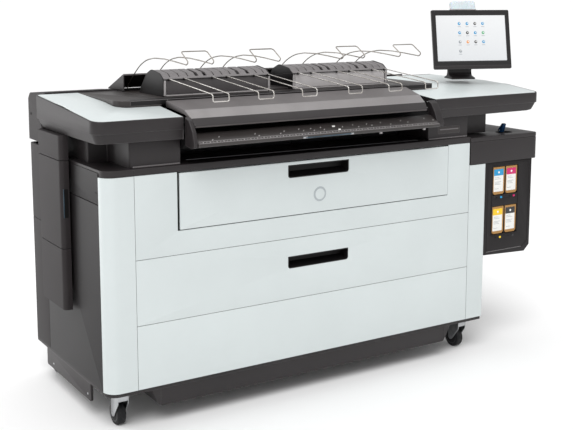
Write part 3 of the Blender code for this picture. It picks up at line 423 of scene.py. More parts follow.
def cast_rubber(name, base, dusty):
    """Cast polyurethane tread: matt black with fine moulding pits, and pale floor dust on the high spots."""
    material, tree, shader, where = surface(name, Specular_IOR_Level=0.3)
    pits = add(tree, "TexNoise", {"Vector": where, "Scale": per_mm(1.2), "Detail": 3.0})
    dust = add(tree, "TexNoise", {"Vector": where, "Scale": per_mm(14), "Detail": 5.0, "Roughness": 0.7})
    amount = add(tree, "MapRange", {"Value": dust, "From Min": 0.5, "From Max": 0.8, "To Max": 0.35})
    mixed = add(tree, "Mix", {0: amount, 6: colour(base), 7: colour(dusty)}, data_type="RGBA")
    gloss = add(tree, "MapRange", {"Value": dust, "To Min": 0.5, "To Max": 0.85})
    drive(tree, shader, (pits, 0.15, 0.0004), Base_Color=mixed, Roughness=gloss)
    return material


def fibrous(name, base, dark, fibre_mm, stretch, roughness, speckle):
    """Paper or kraft card: short fibres along the machine direction vary the tone, with darker specks."""
    material, tree, shader, where = surface(name, Roughness=roughness, Specular_IOR_Level=0.25)
    way = add(tree, "Mapping", {"Vector": where, "Scale": stretch})
    fibre = add(tree, "TexNoise", {"Vector": way, "Scale": per_mm(fibre_mm), "Detail": 5.0})
    fleck = add(tree, "TexVoronoi", {"Vector": where, "Scale": per_mm(4)})
    spots = add(tree, "MapRange", {"Value": fleck, "From Min": 0.14, "From Max": 0.05, "To Max": speckle})
    tone = add(tree, "MapRange", {"Value": fibre, "From Min": 0.35, "From Max": 0.7, "To Max": 0.5})
    both = add(tree, "Math", {0: tone, 1: spots}, operation="MAXIMUM")
    mixed = add(tree, "Mix", {0: both, 6: colour(base), 7: colour(dark)}, data_type="RGBA")
    drive(tree, shader, (fibre, 0.1, 0.0003), Base_Color=mixed)
    return material


def wound_paper(name, base, dark):
    """Paper wound on a core: a grain of 2 mm, since the real 0.1 mm layers are too fine to show, and a
    faint band across the roll where the tension changed."""
    material, tree, shader, where = surface(name, Roughness=0.75, Specular_IOR_Level=0.25)
    across = add(tree, "SeparateXYZ", {"Vector": where}, "X")
    band = add(tree, "TexNoise", {"W": across, "Scale": per_mm(40), "Detail": 3.0}, noise_dimensions="1D")
    layers = add(tree, "TexNoise", {"Vector": where, "Scale": per_mm(2.0), "Detail": 2.0})
    tone = add(tree, "Math", {0: band, 1: layers}, operation="MULTIPLY")
    amount = add(tree, "MapRange", {"Value": tone, "From Min": 0.15, "From Max": 0.4, "To Max": 0.5})
    mixed = add(tree, "Mix", {0: amount, 6: colour(base), 7: colour(dark)}, data_type="RGBA")
    drive(tree, shader, (layers, 0.1, 0.0003), Base_Color=mixed)
    return material


def lit_display(name, top, bottom, glow):
    """Backlit display behind glass: an even pale page with a fine mesh, a little darker towards the foot."""
    material, tree, shader, where = surface(name, Roughness=0.12, Specular_IOR_Level=0.5,
                                            Emission_Strength=glow)
    up = add(tree, "SeparateXYZ", {"Vector": where}, "Z")
    low, high = (corner.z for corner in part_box("screen"))
    fall = add(tree, "MapRange", {"Value": up, "From Min": low, "From Max": high})
    mesh = add(tree, "TexNoise", {"Vector": where, "Scale": per_mm(1.5), "Detail": 1.0})
    grid = add(tree, "MapRange", {"Value": mesh, "To Min": 0.985, "To Max": 1.015})
    page = add(tree, "Mix", {0: fall, 6: colour(bottom), 7: colour(top)}, data_type="RGBA")
    shown = add(tree, "VectorMath", {0: page, "Scale": grid}, operation="SCALE")
    drive(tree, shader, Base_Color=shown, Emission_Color=shown)
    return material


def printed_ink(name, base, worn):
    """Pad-printed ink or dyed film: a dense flat colour whose layer thins in small patches."""
    material, tree, shader, where = surface(name, Roughness=0.5)
    thin = add(tree, "TexNoise", {"Vector": where, "Scale": per_mm(3), "Detail": 4.0})
    amount = add(tree, "MapRange", {"Value": thin, "From Min": 0.5, "From Max": 0.75, "To Max": 0.4})
    mixed = add(tree, "Mix", {0: amount, 6: colour(base), 7: colour(worn)}, data_type="RGBA")
    drive(tree, shader, Base_Color=mixed)
    return material


WHITE = powder_coated_steel("powder_coated_steel_white", "#CCD3D3", "#DEE4E4")
HOUSING = moulded("moulded_abs_warm_grey", "#262223", "#777374", 0.48, Specular_IOR_Level=0.4)
SIDE = moulded("moulded_abs_side_panels", "#282425", "#5E5A5B", 0.58, edge_highlight_gain=0.4, Specular_IOR_Level=0.25)
PANEL_DARK = moulded("moulded_abs_shaded_panel", "#181516", "#4B4748", 0.55, edge_highlight_gain=0.4,
                     Specular_IOR_Level=0.35)
BAY = moulded("moulded_abs_ink_cabinet", "#1F1C1D", "#5C5859", 0.52, edge_highlight_gain=0.5, Specular_IOR_Level=0.25)
DECK = moulded("moulded_abs_deck_brown", "#2A2524", "#8C8788", 0.45)
BLACK = moulded("moulded_abs_black", "#121011", "#363334", 0.48, edge_highlight_gain=0.35, Specular_IOR_Level=0.25)
# near-black: painted shade where it fills slots and recesses; the own black of grommets, seals and the
# scanner bed
GAP_BLACK = moulded("moulded_abs_unlit_black", "#0C0B0B", "#1C1A1A", 0.7, edge_highlight_gain=0.2,
                    Specular_IOR_Level=0.2)
LID_TOP = moulded("painted_lid_mid_grey", "#625E5E", "#B0ACAC", 0.46, Specular_IOR_Level=0.3)
# lighter and darker copies of the lid's grey: a painted reflection for its front band, painted shade for its
# lower band
LID_PAINTED_REFLECTION = moulded("lid_grey_painted_reflection", "#7C7878", "#C6C2C2", 0.30, Coat_Weight=0.15,
                    Coat_Roughness=0.2)
LID_PAINTED_SHADE = moulded("painted_lid_shadow_grey", "#2A2627", "#6A6667", 0.35)
HUMP_FRONT = moulded("moulded_abs_cover_front", "#BAB6B6", "#D6D2D2", 0.40)
HUMP_DARK = moulded("moulded_abs_shaded_cover_front", "#484445", "#6B6768", 0.42)
BADGE = moulded("moulded_abs_plain_badge", "#A9B0B3", "#E4E8EA", 0.30)
TRIM = moulded("moulded_abs_light_trim", "#A09C9C", "#D8D5D5", 0.40)
RIBS = moulded("moulded_abs_rib_grey", "#6A6667", "#A5A1A1", 0.45)
TABLE = moulded("moulded_abs_table", "#34302F", "#B0ACAC", 0.40)
BEZEL = moulded("glossy_pc_abs_bezel", "#1B191A", "#5A5758", 0.22, relief=0.02)
LEVER = moulded("moulded_pp_navy", "#123A62", "#4A7FA6", 0.35)
WIRE = plated_metal("nickel_plated_wire", "#D9D6D2", "#A9A39C", 0.20, 0.06, 6, (1, 0.3, 1))
WIRE_DULL = plated_metal("nickel_plated_wire_dull", "#A8A39D", "#7C756E", 0.32, 0.06, 6, (1, 0.3, 1))
RAIL = plated_metal("anodised_edge_rail", "#5E7280", "#3D4C57", 0.35, 0.08, 5, (0.3, 1, 1))
ZINC = plated_metal("zinc_plated_pressing", "#C9CBCD", "#8E9092", 0.30, 0.10, 4)
SHEET_STEEL = plated_metal("galvanised_sheet_steel", "#A6A9AB", "#7C7F82", 0.42, 0.10, 9)
RUBBER = cast_rubber("cast_polyurethane_tread", "#141416", "#5B5A58")
HUB = moulded("moulded_nylon_hub", "#232325", "#5C5C60", 0.40)
ROLL = wound_paper("wound_paper_roll", "#E9E8E3", "#C9C6BD")
KRAFT = fibrous("corrugated_kraft_card", "#B58A55", "#80603A", 1.5, (0.25, 1, 1), 0.82, 0.6)
LABEL = fibrous("coated_label_paper", "#EFEFEC", "#D2D0C8", 2.5, (1, 1, 0.4), 0.55, 0.0)
DISPLAY = lit_display("backlit_display", "#CBCCCD", "#C6C8CA", 0.30)
BEACON = moulded("frosted_pc_lens", "#E8F3F8", "#FFFFFF", 0.28, Transmission_Weight=0.35,
                 Subsurface_Weight=0.2)
MARKS = printed_ink("pad_printed_white", "#A8A6A4", "#7E7C7A")
INKS = {
    "cyan": printed_ink("dyed_film_cyan", "#0A8FC6", "#7CCBE6"),
    "magenta": printed_ink("dyed_film_magenta", "#C80562", "#EA86B0"),
    "yellow": printed_ink("dyed_film_yellow", "#EFC414", "#F4DE84"),
    "black": printed_ink("dyed_film_black", "#2A2A2C", "#66666A"),
    "green": printed_ink("dyed_film_green", "#3BA66B", "#9AD1B2"),
    "grey": printed_ink("dyed_film_grey", "#8F959B", "#B9BEC3"),
    "orange": printed_ink("dyed_film_orange", "#E58A2B", "#F1BF86"),
}


# ---- body panels
def white_panels():
    """Rounded corner columns, the bottom panel and the frame round the upper drawer."""
    wall = 10
    for node, way in (("left_column", 1), ("right_column", -1)):
        low, high = box(node)
        edge, inner = (low[0], high[0]) if way > 0 else (high[0], low[0])
        front, back = low[1], high[1]
        plan = [(inner, front), (edge, front), (edge, back), (edge + way * wall, back),
                (edge + way * wall, front + wall), (inner, front + wall)]
        turn = back - front if way > 0 else 6
        radii = [0.5, turn, 0.5, 0.5, max(turn - wall, 0.5), 0.5]
        column = slab(rounded(plan, radii, 14), "Z", low[2], high[2], 1)
        piece(node + "_sheet", "chassis", "panel_white", [(column, WHITE)], node)
    low, high = box("bottom_front_panel")
    sheet = plate("Y", low[0], high[0], low[2], high[2], low[1], high[1], 1.5, 1.2)
    piece("bottom_front_sheet", "chassis", "panel_white", [(sheet, WHITE)], "bottom_front_panel")
    low, high = box("upper_front_frame")
    drawer_low, drawer_high = box("upper_drawer_front")
    left, right, floor = drawer_low[0] - 9, drawer_high[0] + 1.5, drawer_low[2] - 3
    outline = [(low[0], low[2]), (high[0], low[2]), (high[0], high[2]), (right, high[2]),
               (right, floor), (left, floor), (left, high[2]), (low[0], high[2])]
    sheet = slab(rounded(outline, [1.5, 1.5, 1, 1, 3, 3, 1, 1], 4), "Y", low[1], high[1], 1.2)
    piece("upper_front_sheet", "chassis", "panel_white", [(sheet, WHITE)], "upper_front_frame")
    air = 0.25                                            # seals stop this short of the panels beside them
    seals = [(-829.75, -828.25, 143, 860, 1.5), (601.25, 602.75, 143, 770, 1.5),
             (low[0], high[0], 359.25, 360.75, 1.5), (low[0], high[0], 581.25, low[2], 1.5),
             (left, drawer_low[0], floor, high[2], 6), (drawer_high[0], right, floor, high[2], 3),
             (drawer_low[0], drawer_high[0], floor, drawer_low[2], 5)]
    parts = [(plate("Y", x0 + air, x1 - air, z0 + air, z1 - air, FRONT_Y + depth, FRONT_Y + 12, 0.2, 0.2),
              GAP_BLACK) for x0, x1, z0, z1, depth in seals]
    piece("panel_gap_seals", "chassis", "rubber_black", parts)


def drawer_fronts():
    """White fronts with a window for the finger cup, the black cup behind it, and the blank badge."""
    for drawer in ("upper", "lower"):
        low, high = box(f"{drawer}_drawer_front")
        cup_low, cup_high = box(f"{drawer}_handle_cup")
        steps = 5
        outline = rectangle(low[0], high[0], low[2], high[2], 1.5, steps)
        corners = [10, 10, 1, 1]
        hole = rectangle(cup_low[0] - 0.4, cup_high[0] + 0.4, cup_low[2] - 0.4,
                         cup_high[2] + 0.4, corners, steps)
        front = window(outline, hole, "Y", low[1], high[1], 1.2)
        parts = [(front, WHITE)]
        if drawer == "upper":
            badge_x, badge_z, badge_r, proud = -110, 731, 27, 1.6
            face = low[1] - proud
            disc = [(face, 0), (face, badge_r - 2.5), (face + 0.5, badge_r - 1.2),
                    (face + 1.2, badge_r), (low[1] + 1, badge_r), (low[1] + 1, 0)]
            ring = [(face - 0.3, 0), (face - 0.3, badge_r - 8), (face + 0.2, badge_r - 7), (face + 0.2, 0)]
            parts += [(turned(disc, (badge_x, 0, badge_z), "Y"), BADGE),
                      (turned(ring, (badge_x, 0, badge_z), "Y"), WHITE)]
        piece(f"{drawer}_drawer_sheet", f"{drawer}_drawer", "panel_white", parts, f"{drawer}_drawer_front")
        finger_cup(drawer, cup_low, cup_high)


def finger_cup(drawer, low, high):
    """Deep black cup: a rim, walls that lean back from the lower front edge, and a lip along the top."""
    wall = 3
    steps = 5
    corners = np.array([10, 10, 1, 1])
    outer = rectangle(low[0], high[0], low[2], high[2], corners, steps)
    mouth = rectangle(low[0] + wall, high[0] - wall, low[2] + wall, high[2] - wall, corners * 0.7, steps)
    rise = np.clip((high[2] - wall - 15 - mouth[:, 1]) / (high[2] - low[2]), 0, 1)
    floor = mouth.copy()
    floor[:, 1] += rise * (high[2] - low[2] - 22)
    rows = [(outer, high[1]), (outer, low[1] + 1), (inset_by(outer, 1), low[1]), (mouth, low[1]),
            (inset_by(mouth, 0.6), low[1] + 1.5), (inset_by(mouth, 1), low[1] + 14),
            (inset_by(floor, 1.5), high[1] - wall)]
    grid = np.stack([np.insert(flat, 1, y, axis=1) for flat, y in rows])
    parts = [(rings(grid), BLACK)]
    lip = rounded([(low[1] - 0.6, high[2] - 1.6), (low[1] - 0.6, high[2] + 0.4),
               (low[1] + 2, high[2] + 0.4), (low[1] + 2, high[2] - 1.6)], 0.5, 3)
    parts.append((slab(lip, "X", low[0] + 2, high[0] - 2, 0.5), BLACK))
    piece(f"{drawer}_finger_cup", f"{drawer}_drawer", "black_plastic", parts, f"{drawer}_handle_cup")


def inset_by(outline, distance):
    """Outline with every edge moved inwards by one distance."""
    return outline + inward(outline) * distance


def base_and_sill():
    """Dark plinth under the panels, the deep pan between the casters, and the sill over the drawers."""
    low, high = box("base_pan")
    strip_z0, strip_z1 = 128, high[2]
    plan = [(low[0], high[1]), (low[0], FRONT_Y + 6), (high[0], FRONT_Y + 6), (high[0], high[1])]
    strip = slab(rounded(plan, [2, 41, 4, 2], 10), "Z", strip_z0, strip_z1, 1.5)
    x0, x1, foot = -771, 523, low[2]
    lean = 22
    outline = [(x0 - 16, strip_z0 + 3), (x0 - 4, strip_z0 - 6), (x0 + lean * 0.6, foot + 20),
               (x0 + lean + 6, foot), (x1 - lean - 6, foot), (x1 - lean * 0.6, foot + 20),
               (x1 + 4, strip_z0 - 6), (x1 + 16, strip_z0 + 3)]
    radii = [1, 14, 16, 10, 10, 16, 14, 1]
    pan = slab(rounded(outline, radii, 6), "Y", FRONT_Y + 10, high[1] - 46, 4)
    parts = [(strip, HOUSING), (pan, HOUSING)]
    for x in (x0 + 27, x1 - 27):                      # seams near the pan's ends
        bead = plate("Y", x - 1, x + 1, foot + 6, strip_z0 - 1, FRONT_Y + 9.2, FRONT_Y + 12, 0.5, 0.4)
        parts.append((bead, BLACK))
    skirt_front = -142
    for x, rear in ((low[0], 295), (high[0] - 10, 255)):
        side = rounded([(skirt_front, foot), (rear, foot), (rear, strip_z0 + 2), (skirt_front, strip_z0 + 2)],
                       [6, 6, 1, 1], 4)
        parts.append((slab(side, "X", x, x + 10, 1.2), HOUSING))
        face = x - 1.2 if x < 0 else x + 10 + 1.2
        parts += [(screw_head((face, y, foot + 21), "X", 1 if x < 0 else -1), ZINC) for y in (-117, 224)]
    piece("base_pan_shell", "chassis", "housing_dark", parts, "base_pan")

    low, high = box("front_sill")
    plan = [(low[0], high[1]), (low[0], low[1]), (high[0], low[1]), (high[0], high[1])]
    sill = slab(rounded(plan, [2, 42, 1, 1], 12), "Z", low[2], high[2], 2)
    seam = plate("Y", -830.5, -828.5, low[2] + 1.5, high[2] - 1.5, low[1] - 0.3, low[1] + 2, 0.4, 0.2)
    piece("sill_moulding", "chassis", "housing_dark", [(sill, HOUSING), (seam, GAP_BLACK)], "front_sill")


def screw_head(at, axis, way, radius=4):
    """Domed screw head with a round socket, looking along -axis when `way` is 1 and along +axis when -1."""
    height = 1.8
    profile = [(0, 0), (0, 0.35 * radius), (-0.25 * height, 0.4 * radius), (0.0, 0.6 * radius),
               (0.45 * height, 0.93 * radius), (height, radius), (height + 1, radius), (height + 1, 0)]
    flat = [(way * along, r) for along, r in profile]
    return turned(flat, at, axis, 20)


def side_covers():
    """Left and right side panels, the wrapped rear cover, and the bulged cover with its door on the left."""
    low, high = box("left_side_panel")
    seam_z = 770
    parts = []
    # painted shadow: both halves of the panel beside the bulged cover take a darker copy of the grey
    for z0, z1 in ((low[2], seam_z - 1), (seam_z + 1, high[2])):
        parts.append((plate("X", low[1], high[1], z0, z1, low[0], high[0], 2, 1.5), PANEL_DARK))
    # painted shade: a near-black plate stands for the shade inside the slot
    slot = plate("X", low[1] + 6, low[1] + 24, 806.5, 810.5, low[0] - 0.3, low[0] + 2, 1.5, 0.2)
    piece("left_side_cover", "chassis", "housing_dark", parts + [(slot, GAP_BLACK)], "left_side_panel")
    low, high = box("right_side_panel")
    sheet = plate("X", low[1], high[1], low[2], high[2], low[0], high[0], 2, 1.5)
    piece("right_side_cover", "chassis", "housing_dark", [(sheet, SIDE)], "right_side_panel")
    rear_cover()

    low, high = box("side_cover")
    door_low, door_high = box("side_door")
    plan = [(high[0] - 8.6, low[1]), (low[0], low[1]), (low[0], 182), (low[0] + 20, high[1]),
            (high[0] - 8.6, high[1])]
    plan = rounded(plan, [1, 16, 10, 6, 1], 8)
    fixed = [slab(plan, "Z", low[2], door_low[2] - 1.5, 2), slab(plan, "Z", door_high[2] + 1.5, high[2], 2)]
    piece("side_cover_shell", "chassis", "housing_dark", [(s, SIDE) for s in fixed], "side_cover")
    door = slab(plan, "Z", door_low[2], door_high[2], 2)
    x0, x1, z0, z1 = low[0] + 10, low[0] + 26, 688, 788
    grip = plate("Y", x0 - 1, x0 + 2, z0, z1, low[1] - 1.4, low[1] + 2, 1, 0.6)
    # painted shade: a near-black plate stands for the shade in the door's finger recess
    well = plate("Y", x0, x1, z0, z1, low[1] - 0.6, low[1] + 2, 3, 0.2)
    piece("side_door_shell", "side_door", "housing_dark", [(door, SIDE), (grip, RAIL), (well, GAP_BLACK)],
          "side_door")


def rear_cover():
    """Rear cover in two heights that wraps both sides, with its air louvres, screws and mains inlet."""
    low, high = box("rear_panel")
    sheet = 12
    plan = [(low[0], low[1]), (low[0], high[1]), (high[0], high[1]), (high[0], low[1]),
            (high[0] - sheet, low[1]), (high[0] - sheet, high[1] - sheet), (low[0] + sheet, high[1] - sheet),
            (low[0] + sheet, low[1])]
    plan = rounded(plan, [1, 20, 20, 1, 1, 8, 8, 1], 6)
    seam_z = 615
    parts = [(slab(plan, "Z", low[2], seam_z - 0.8, 1.5), SIDE),
             (slab(plan, "Z", seam_z + 0.8, high[2], 1.5), SIDE)]
    face = high[1]
    fin = rounded([(face - 1, 0), (face + 2.4, -3), (face + 2.4, -4.5), (face - 1, -3)], 0.5, 3)
    for x0, x1, z0, count in ((-780, -420, 250, 12), (200, 560, 250, 12), (-300, 100, 700, 8)):
        for i in range(count):
            louvre = slab(fin + [0, z0 + 11 * i], "X", x0, x1, 0.6)
            parts.append((louvre, SIDE))
        back_plate = rectangle(x0 - 3, x1 + 3, z0 - 9, z0 + 11 * count - 7, 4)
        parts.append((slab(back_plate, "Y", face - 2, face + 0.4, 0.3), BLACK))
    for z in (165, 590, 640, 875):
        for x in (-900, -450, 0, 450, 655):
            parts.append((screw_head((x, face + 1.4, z), "Y", -1, 3.6), ZINC))
    x, z = 600, 200
    socket = window(rectangle(x - 18, x + 18, z - 13, z + 13, 3), rectangle(x - 13, x + 13, z - 8, z + 8, 3),
                    "Y", face - 1, face + 3.5, 0.8)
    floor = plate("Y", x - 14, x + 14, z - 9, z + 9, face - 1, face + 0.5, 3, 0.2)
    parts += [(socket, BLACK), (floor, GAP_BLACK)]
    for step in (-7, 0, 7):
        pin = rectangle(x + step - 1, x + step + 1, z - 3, z + 3, 0.8)
        parts.append((slab(pin, "Y", face, face + 3, 0.4), ZINC))
    piece("rear_cover_shell", "chassis", "housing_dark", parts, "rear_panel")


# ---- wings and deck
WING_TOP = np.array([(-335, 1046), (-50, 1077), (210, 1089)])


def wing_height(y):
    """Height of a wing's top at a fore-and-aft place: straight runs between the three stations."""
    return np.interp(y, WING_TOP[:, 0], WING_TOP[:, 1])


def wing_shell(node, plan, inner_x, white_node, chamfer=((10, 11), (0, 0))):
    """Dark wing body: its plan outline carried up the wall's rings.

    The nose leans out from the foot to a small step, stands upright above it, and ends in a thin rim round
    the white skin.  The side against the scanner isn't inset.  `chamfer` gives the x and the lowest z of a
    slanting end's stations.
    """
    foot = box(node)[0][2]
    from_foot = [(24, 0), (18, 1), (7.5, 28), (6, 33), (1, 34), (0, 35.5)]          # (inset, height)
    from_top = [(0, 3), (1.2, 0.6), (2.4, -0.2), (4, 0.4), (5, 5)]                  # (inset, depth)
    step = inward(plan) * np.clip(np.abs(plan[:, 0] - inner_x) / 2, 0, 1)[:, None]
    rows = []
    for number, (inset, measure) in enumerate(from_foot + from_top):
        flat = plan + step * inset
        rising = np.full(len(flat), foot + measure)
        z = rising if number < len(from_foot) else wing_height(flat[:, 1]) - measure
        z = np.maximum(z, np.interp(flat[:, 0], *chamfer) + 0.2 * measure)
        rows.append(np.column_stack([flat, z]))
    shell = rings(np.stack(rows))
    piece(node + "_moulding", "chassis", "housing_dark", [(shell, HOUSING)], node, crease=50)
    softened(white_node, WHITE, 1.2)


def wings():
    """Both wings: the left one square with a rounded nose, the right one longer with a slanting end."""
    low, high = box("left_wing_shell")
    plan = [(low[0], high[1]), (low[0], low[1]), (high[0], low[1]), (high[0], high[1])]
    wing_shell("left_wing_shell", rounded(plan, [12, 40, 0.5, 0.5], 12), high[0], "left_wing_top")
    low, high = box("right_wing_shell")
    right, front, rear = 955, low[1], high[1]
    plan = [(low[0], front), (900, front), (right, front), (right, -150), (840, rear), (low[0], rear)]
    wing_shell("right_wing_shell", rounded(plan, [0.5, 0.5, 30, 40, 8, 0.5], 12), low[0],
               "right_wing_top", ((900, 935, 955), (960, 983, 1006)))


def pillars():
    """Blocks that carry the wings: a paler strip along each foot, and a blank nameplate on the right one."""
    low, high = box("left_pillar")
    plan = [(-835, low[1]), (-652, low[1]), (-652, 200), (-905, 200), (-905, -110), (-835, -110)]
    body = slab(rounded(plan, [10, 4, 4, 4, 4, 4], 6), "Z", low[2], high[2], 1)
    foot = plate("Y", -824, -655, low[2] + 0.5, low[2] + 5, low[1] - 1.5, low[1] + 2, 1.5, 0.6)
    piece("left_pillar_moulding", "chassis", "housing_dark", [(body, HOUSING), (foot, RIBS)], "left_pillar")
    low, high = box("right_pillar")
    plan = [(405, low[1]), (604, low[1]), (604, -230), (765, -230), (765, 150), (604, 150),
            (604, 200), (405, 200)]
    body = slab(rounded(plan, [4, 3, 2, 8, 4, 2, 2, 4], 5), "Z", low[2], high[2], 1)
    foot = plate("Y", 408, 602, low[2] + 0.5, low[2] + 5, low[1] - 1.5, low[1] + 2, 1.5, 0.6)
    nameplate = plate("Y", 454, 563, 905, 932, low[1] - 1.2, low[1] + 2, 3, 0.8)
    line = plate("Y", 462, 555, 919.5, 922.5, low[1] - 1.6, low[1], 1, 0.3)
    parts = [(body, HOUSING), (foot, RIBS), (nameplate, DECK), (line, RIBS)]
    parts += [(screw_head((x, low[1] - 1.6, low[2] + 3), "Y", 1, 1.8), ZINC) for x in (520, 585)]
    piece("right_pillar_moulding", "chassis", "housing_dark", parts, "right_pillar")


def deck():
    """Deck behind the lid: the run over the paper path, ledges over the wings, and the rear corner boxes."""
    low, high = box("deck")
    front, rear, top = -155, high[1], 1088
    x0, x1 = -659, 404
    wall = 10
    side = [(front, top - 18), (front, top), (300, top), (rear - 15, 1070), (rear, 1050), (rear, low[2]),
            (rear - wall, low[2]), (rear - wall, 1045), (rear - 22, 1058), (296, top - wall),
            (front + wall, top - wall), (front + wall, top - 18)]
    radii = [1, 2.5, 8, 8, 6, 1, 1, 4, 4, 4, 2, 1]
    main = slab(rounded(side, radii, 5), "X", x0, x1, 1)
    parts = [(main, DECK)]
    corner = [(-812, 240), (-812, front + 44), (-800, front + 14), (-768, front), (x0 + 6, front),
              (x0 + 6, 240)]
    ledges = (rounded(corner, [1, 30, 16, 26, 1, 1], 6),
              rounded([(x1 - 6, front), (540, front), (540, 240), (x1 - 6, 240)], [1, 10, 1, 1], 6))
    skin = 5.6
    for plan in ledges:                                        # underside follows the wing, top is level
        soft = 2.5
        rows = [np.column_stack([plan, wing_height(plan[:, 1]) - skin]),
                np.column_stack([plan, np.full(len(plan), top - soft)]),
                np.column_stack([inset_by(plan, soft * 0.3), np.full(len(plan), top - soft * 0.3)]),
                np.column_stack([inset_by(plan, soft), np.full(len(plan), top)])]
        parts.append((rings(np.stack(rows)), DECK))
    body_left, body_right, rear_top = -935, 690, 1095
    for y0, a, b in ((214.5, body_left, x0 + 4), (227.5, x1 - 4, body_right)):
        profile = [(y0, low[2]), (rear, low[2]), (rear, 1060), (rear - 20, 1082), (y0, rear_top)]
        end_box = slab(rounded(profile, [1, 3, 10, 10, 2], 5), "X", a, b, 5)
        parts.append((end_box, SIDE))
    dot = turned([(-1, 0), (-1, 5), (2, 5), (2, 0)], (body_left, 372, 1005), "X", 20)
    edge_line = slab(rounded([(front - 0.5, top - 2.6), (front - 0.5, top - 0.8), (front + 1, top - 0.6),
                          (front + 1, top - 2.6)], 0.3, 2), "X", -765, 535, 0.3)
    seam = plate("Y", -631.5, -629.5, top - 17, top - 1, front - 0.4, front + 2, 0.4, 0.2)
    parts += [(dot, GAP_BLACK), (edge_line, RIBS), (seam, RIBS)]
    face = slab(rounded([(front - 0.3, top - 17.5), (front - 0.3, top + 0.3), (front + 36, top + 0.3),
                     (front + 36, top - 17.5)], 0.2, 2), "X", -766, 536, 0.2)
    parts.append((face, BLACK))
    piece("deck_moulding", "chassis", "housing_dark", parts, "deck")


# ---- scanner
LID_BENDS = (-351.5, -299.5)    # fore-and-aft places where the lid's grey turns from painted shade to a painted reflection and to its own mid grey
LID_END_SLANT = 0.298           # how far the lid's right end comes in for each unit forward


def scanner():
    """Curved lid, feed table with its printed scale, end cheeks, black bed and rubber roller."""
    low, high = box("scanner_lid")
    hinge_y, hinge_z = -156.5, 1081.5
    side = [(hinge_y, hinge_z), (-166, 1081.5), (-300, 1063.5), (-352, 1040), (-374.5, 1018), (-369, 1010),
            (-348, 1022), (-300, 1046), (-206, 1056), (hinge_y, 1060)]
    radii = [2, 2, 3, 3, 3, 2, 8, 8, 8, 2]
    profile = rounded(side, radii, 5)
    lid = slab(profile, "X", low[0], high[0], 3)
    lid[0][:, 0] -= np.where(lid[0][:, 0] > 0, LID_END_SLANT * (hinge_y - lid[0][:, 1]), 0)
    # painted shade on the lid's lower band and a painted reflection on its front band; its own mid grey
    # elsewhere
    parts = split_bands(lid, [(*LID_BENDS, LID_PAINTED_REFLECTION), (low[1] - 1, LID_BENDS[0], LID_PAINTED_SHADE)], LID_TOP)
    piece("scanner_lid_shell", "lid", "lid_grey", parts, "scanner_lid", crease=50)

    low, high = box("feed_table")
    rear = -331.5
    side = [(rear, 990), (-350, 990), (low[1], 962), (low[1], 952), (-392, 948), (rear, 962)]
    table = slab(rounded(side, [1, 6, 2, 3, 4, 1], 4), "X", low[0], high[0], 2)
    piece("feed_table_plate", "chassis", "housing_dark", [(table, TABLE)] + table_marks(low, high),
          "feed_table")
    handle_bar(low[1])

    left = [(-337, 1044), (-362, 1037), (-390, 1000), (-402, 962), (-398, 948), (-375, 944), (-337, 950)]
    right = [(-332, 1044), (-350, 1034), (-371, 1005), (-388, 965), (-386, 950), (-370, 944), (-332, 950)]
    for node, outline in (("left_cheek", left), ("right_cheek", right)):
        a, b = box(node)
        cheek = slab(rounded(outline, [1, 14, 30, 12, 5, 8, 1], 6), "X", a[0], b[0], 3)
        parts = [(cheek, HOUSING)]
        # two screws in the wing's wall behind the cheek
        if node == "right_cheek":
            parts += [(screw_head((403.5, -285, z), "X", 1, 2.2), ZINC) for z in (1010, 1032)]
        piece(node + "_moulding", "chassis", "housing_dark", parts, node)
    softened("scanner_bed", GAP_BLACK, 1)
    low, high = box("scan_roller")
    roller(low, high, "scan_roller", "scan_roller")


def split_bands(shell, bands, other):
    """Shell split by material: each (front, rear, material) band takes the upper faces between two places."""
    verts, faces = shell
    middle = np.array([verts[face].mean(0) for face in faces])
    upper = middle[:, 2] > np.interp(middle[:, 1], [-372, -345, -290, -150], [1013.5, 1027.5, 1051, 1066])
    group = np.zeros(len(faces), int)
    for number, (front, rear, _) in enumerate(bands, 1):
        group[(middle[:, 1] > front) & (middle[:, 1] <= rear) & upper] = number
    finishes = [other] + [band[2] for band in bands]
    return [((verts, [f for f, g in zip(faces, group) if g == number]), finish)
            for number, finish in enumerate(finishes)]


def table_marks(low, high):
    """Printed scale on the sloping table: a tick every half inch along its lip, and plain marks behind it."""
    rise = np.array([-350 - low[1], 990 - 962])
    rise = rise / np.linalg.norm(rise)

    def mark(x, along, length, width, lean=0.0):
        """Flat quad `along` metres up the slope from the lip, its far end moved sideways by `lean`."""
        a = np.array([low[1], 962.5]) + rise * along
        b = a + rise * length
        corners = [(x, *a), (x + width, *a), (x + width + lean, *b), (x + lean, *b)]
        top = np.array(corners) + [0, 0, 0.35]
        return rings(np.stack([np.array(corners) - [0, 0, 0.5], top]))

    inch = 25.4
    count = int((high[0] - low[0] - 30) / inch)
    parts = [(mark(low[0] + 18 + inch * i, 5, 4.5, 2.2), MARKS) for i in range(count)]
    parts += [(mark(low[0] + 18 + inch * (i + 0.5), 5, 2.5, 1.4), MARKS) for i in range(count)]
    settings = [(-585, 16), (-555, 30), (-418, 30), (-408, 18), (-322, 20), (-302, 32), (-240, 36),
                (-226, 26), (-192, 34), (-184, 22), (-150, 36), (-142, 22), (-60, 30), (-12, 36), (6, 22),
                (48, 34), (66, 24), (112, 36), (150, 22), (206, 38), (232, 26), (318, 40), (352, 26)]
    parts += [(mark(x, along, 5, 3.4, 4), MARKS) for x, along in settings]
    parts += [(mark(-98, 36, 7, 12, 3), LABEL), (mark(-84, 15, 6, 10, 3), LABEL)]
    line_a = mark(low[0] + 6, 12, 0.8, high[0] - low[0] - 12)
    edge_line = mark(low[0] + 4, 1, 1.4, high[0] - low[0] - 8)
    return parts + [(line_a, RIBS), (edge_line, RIBS)]


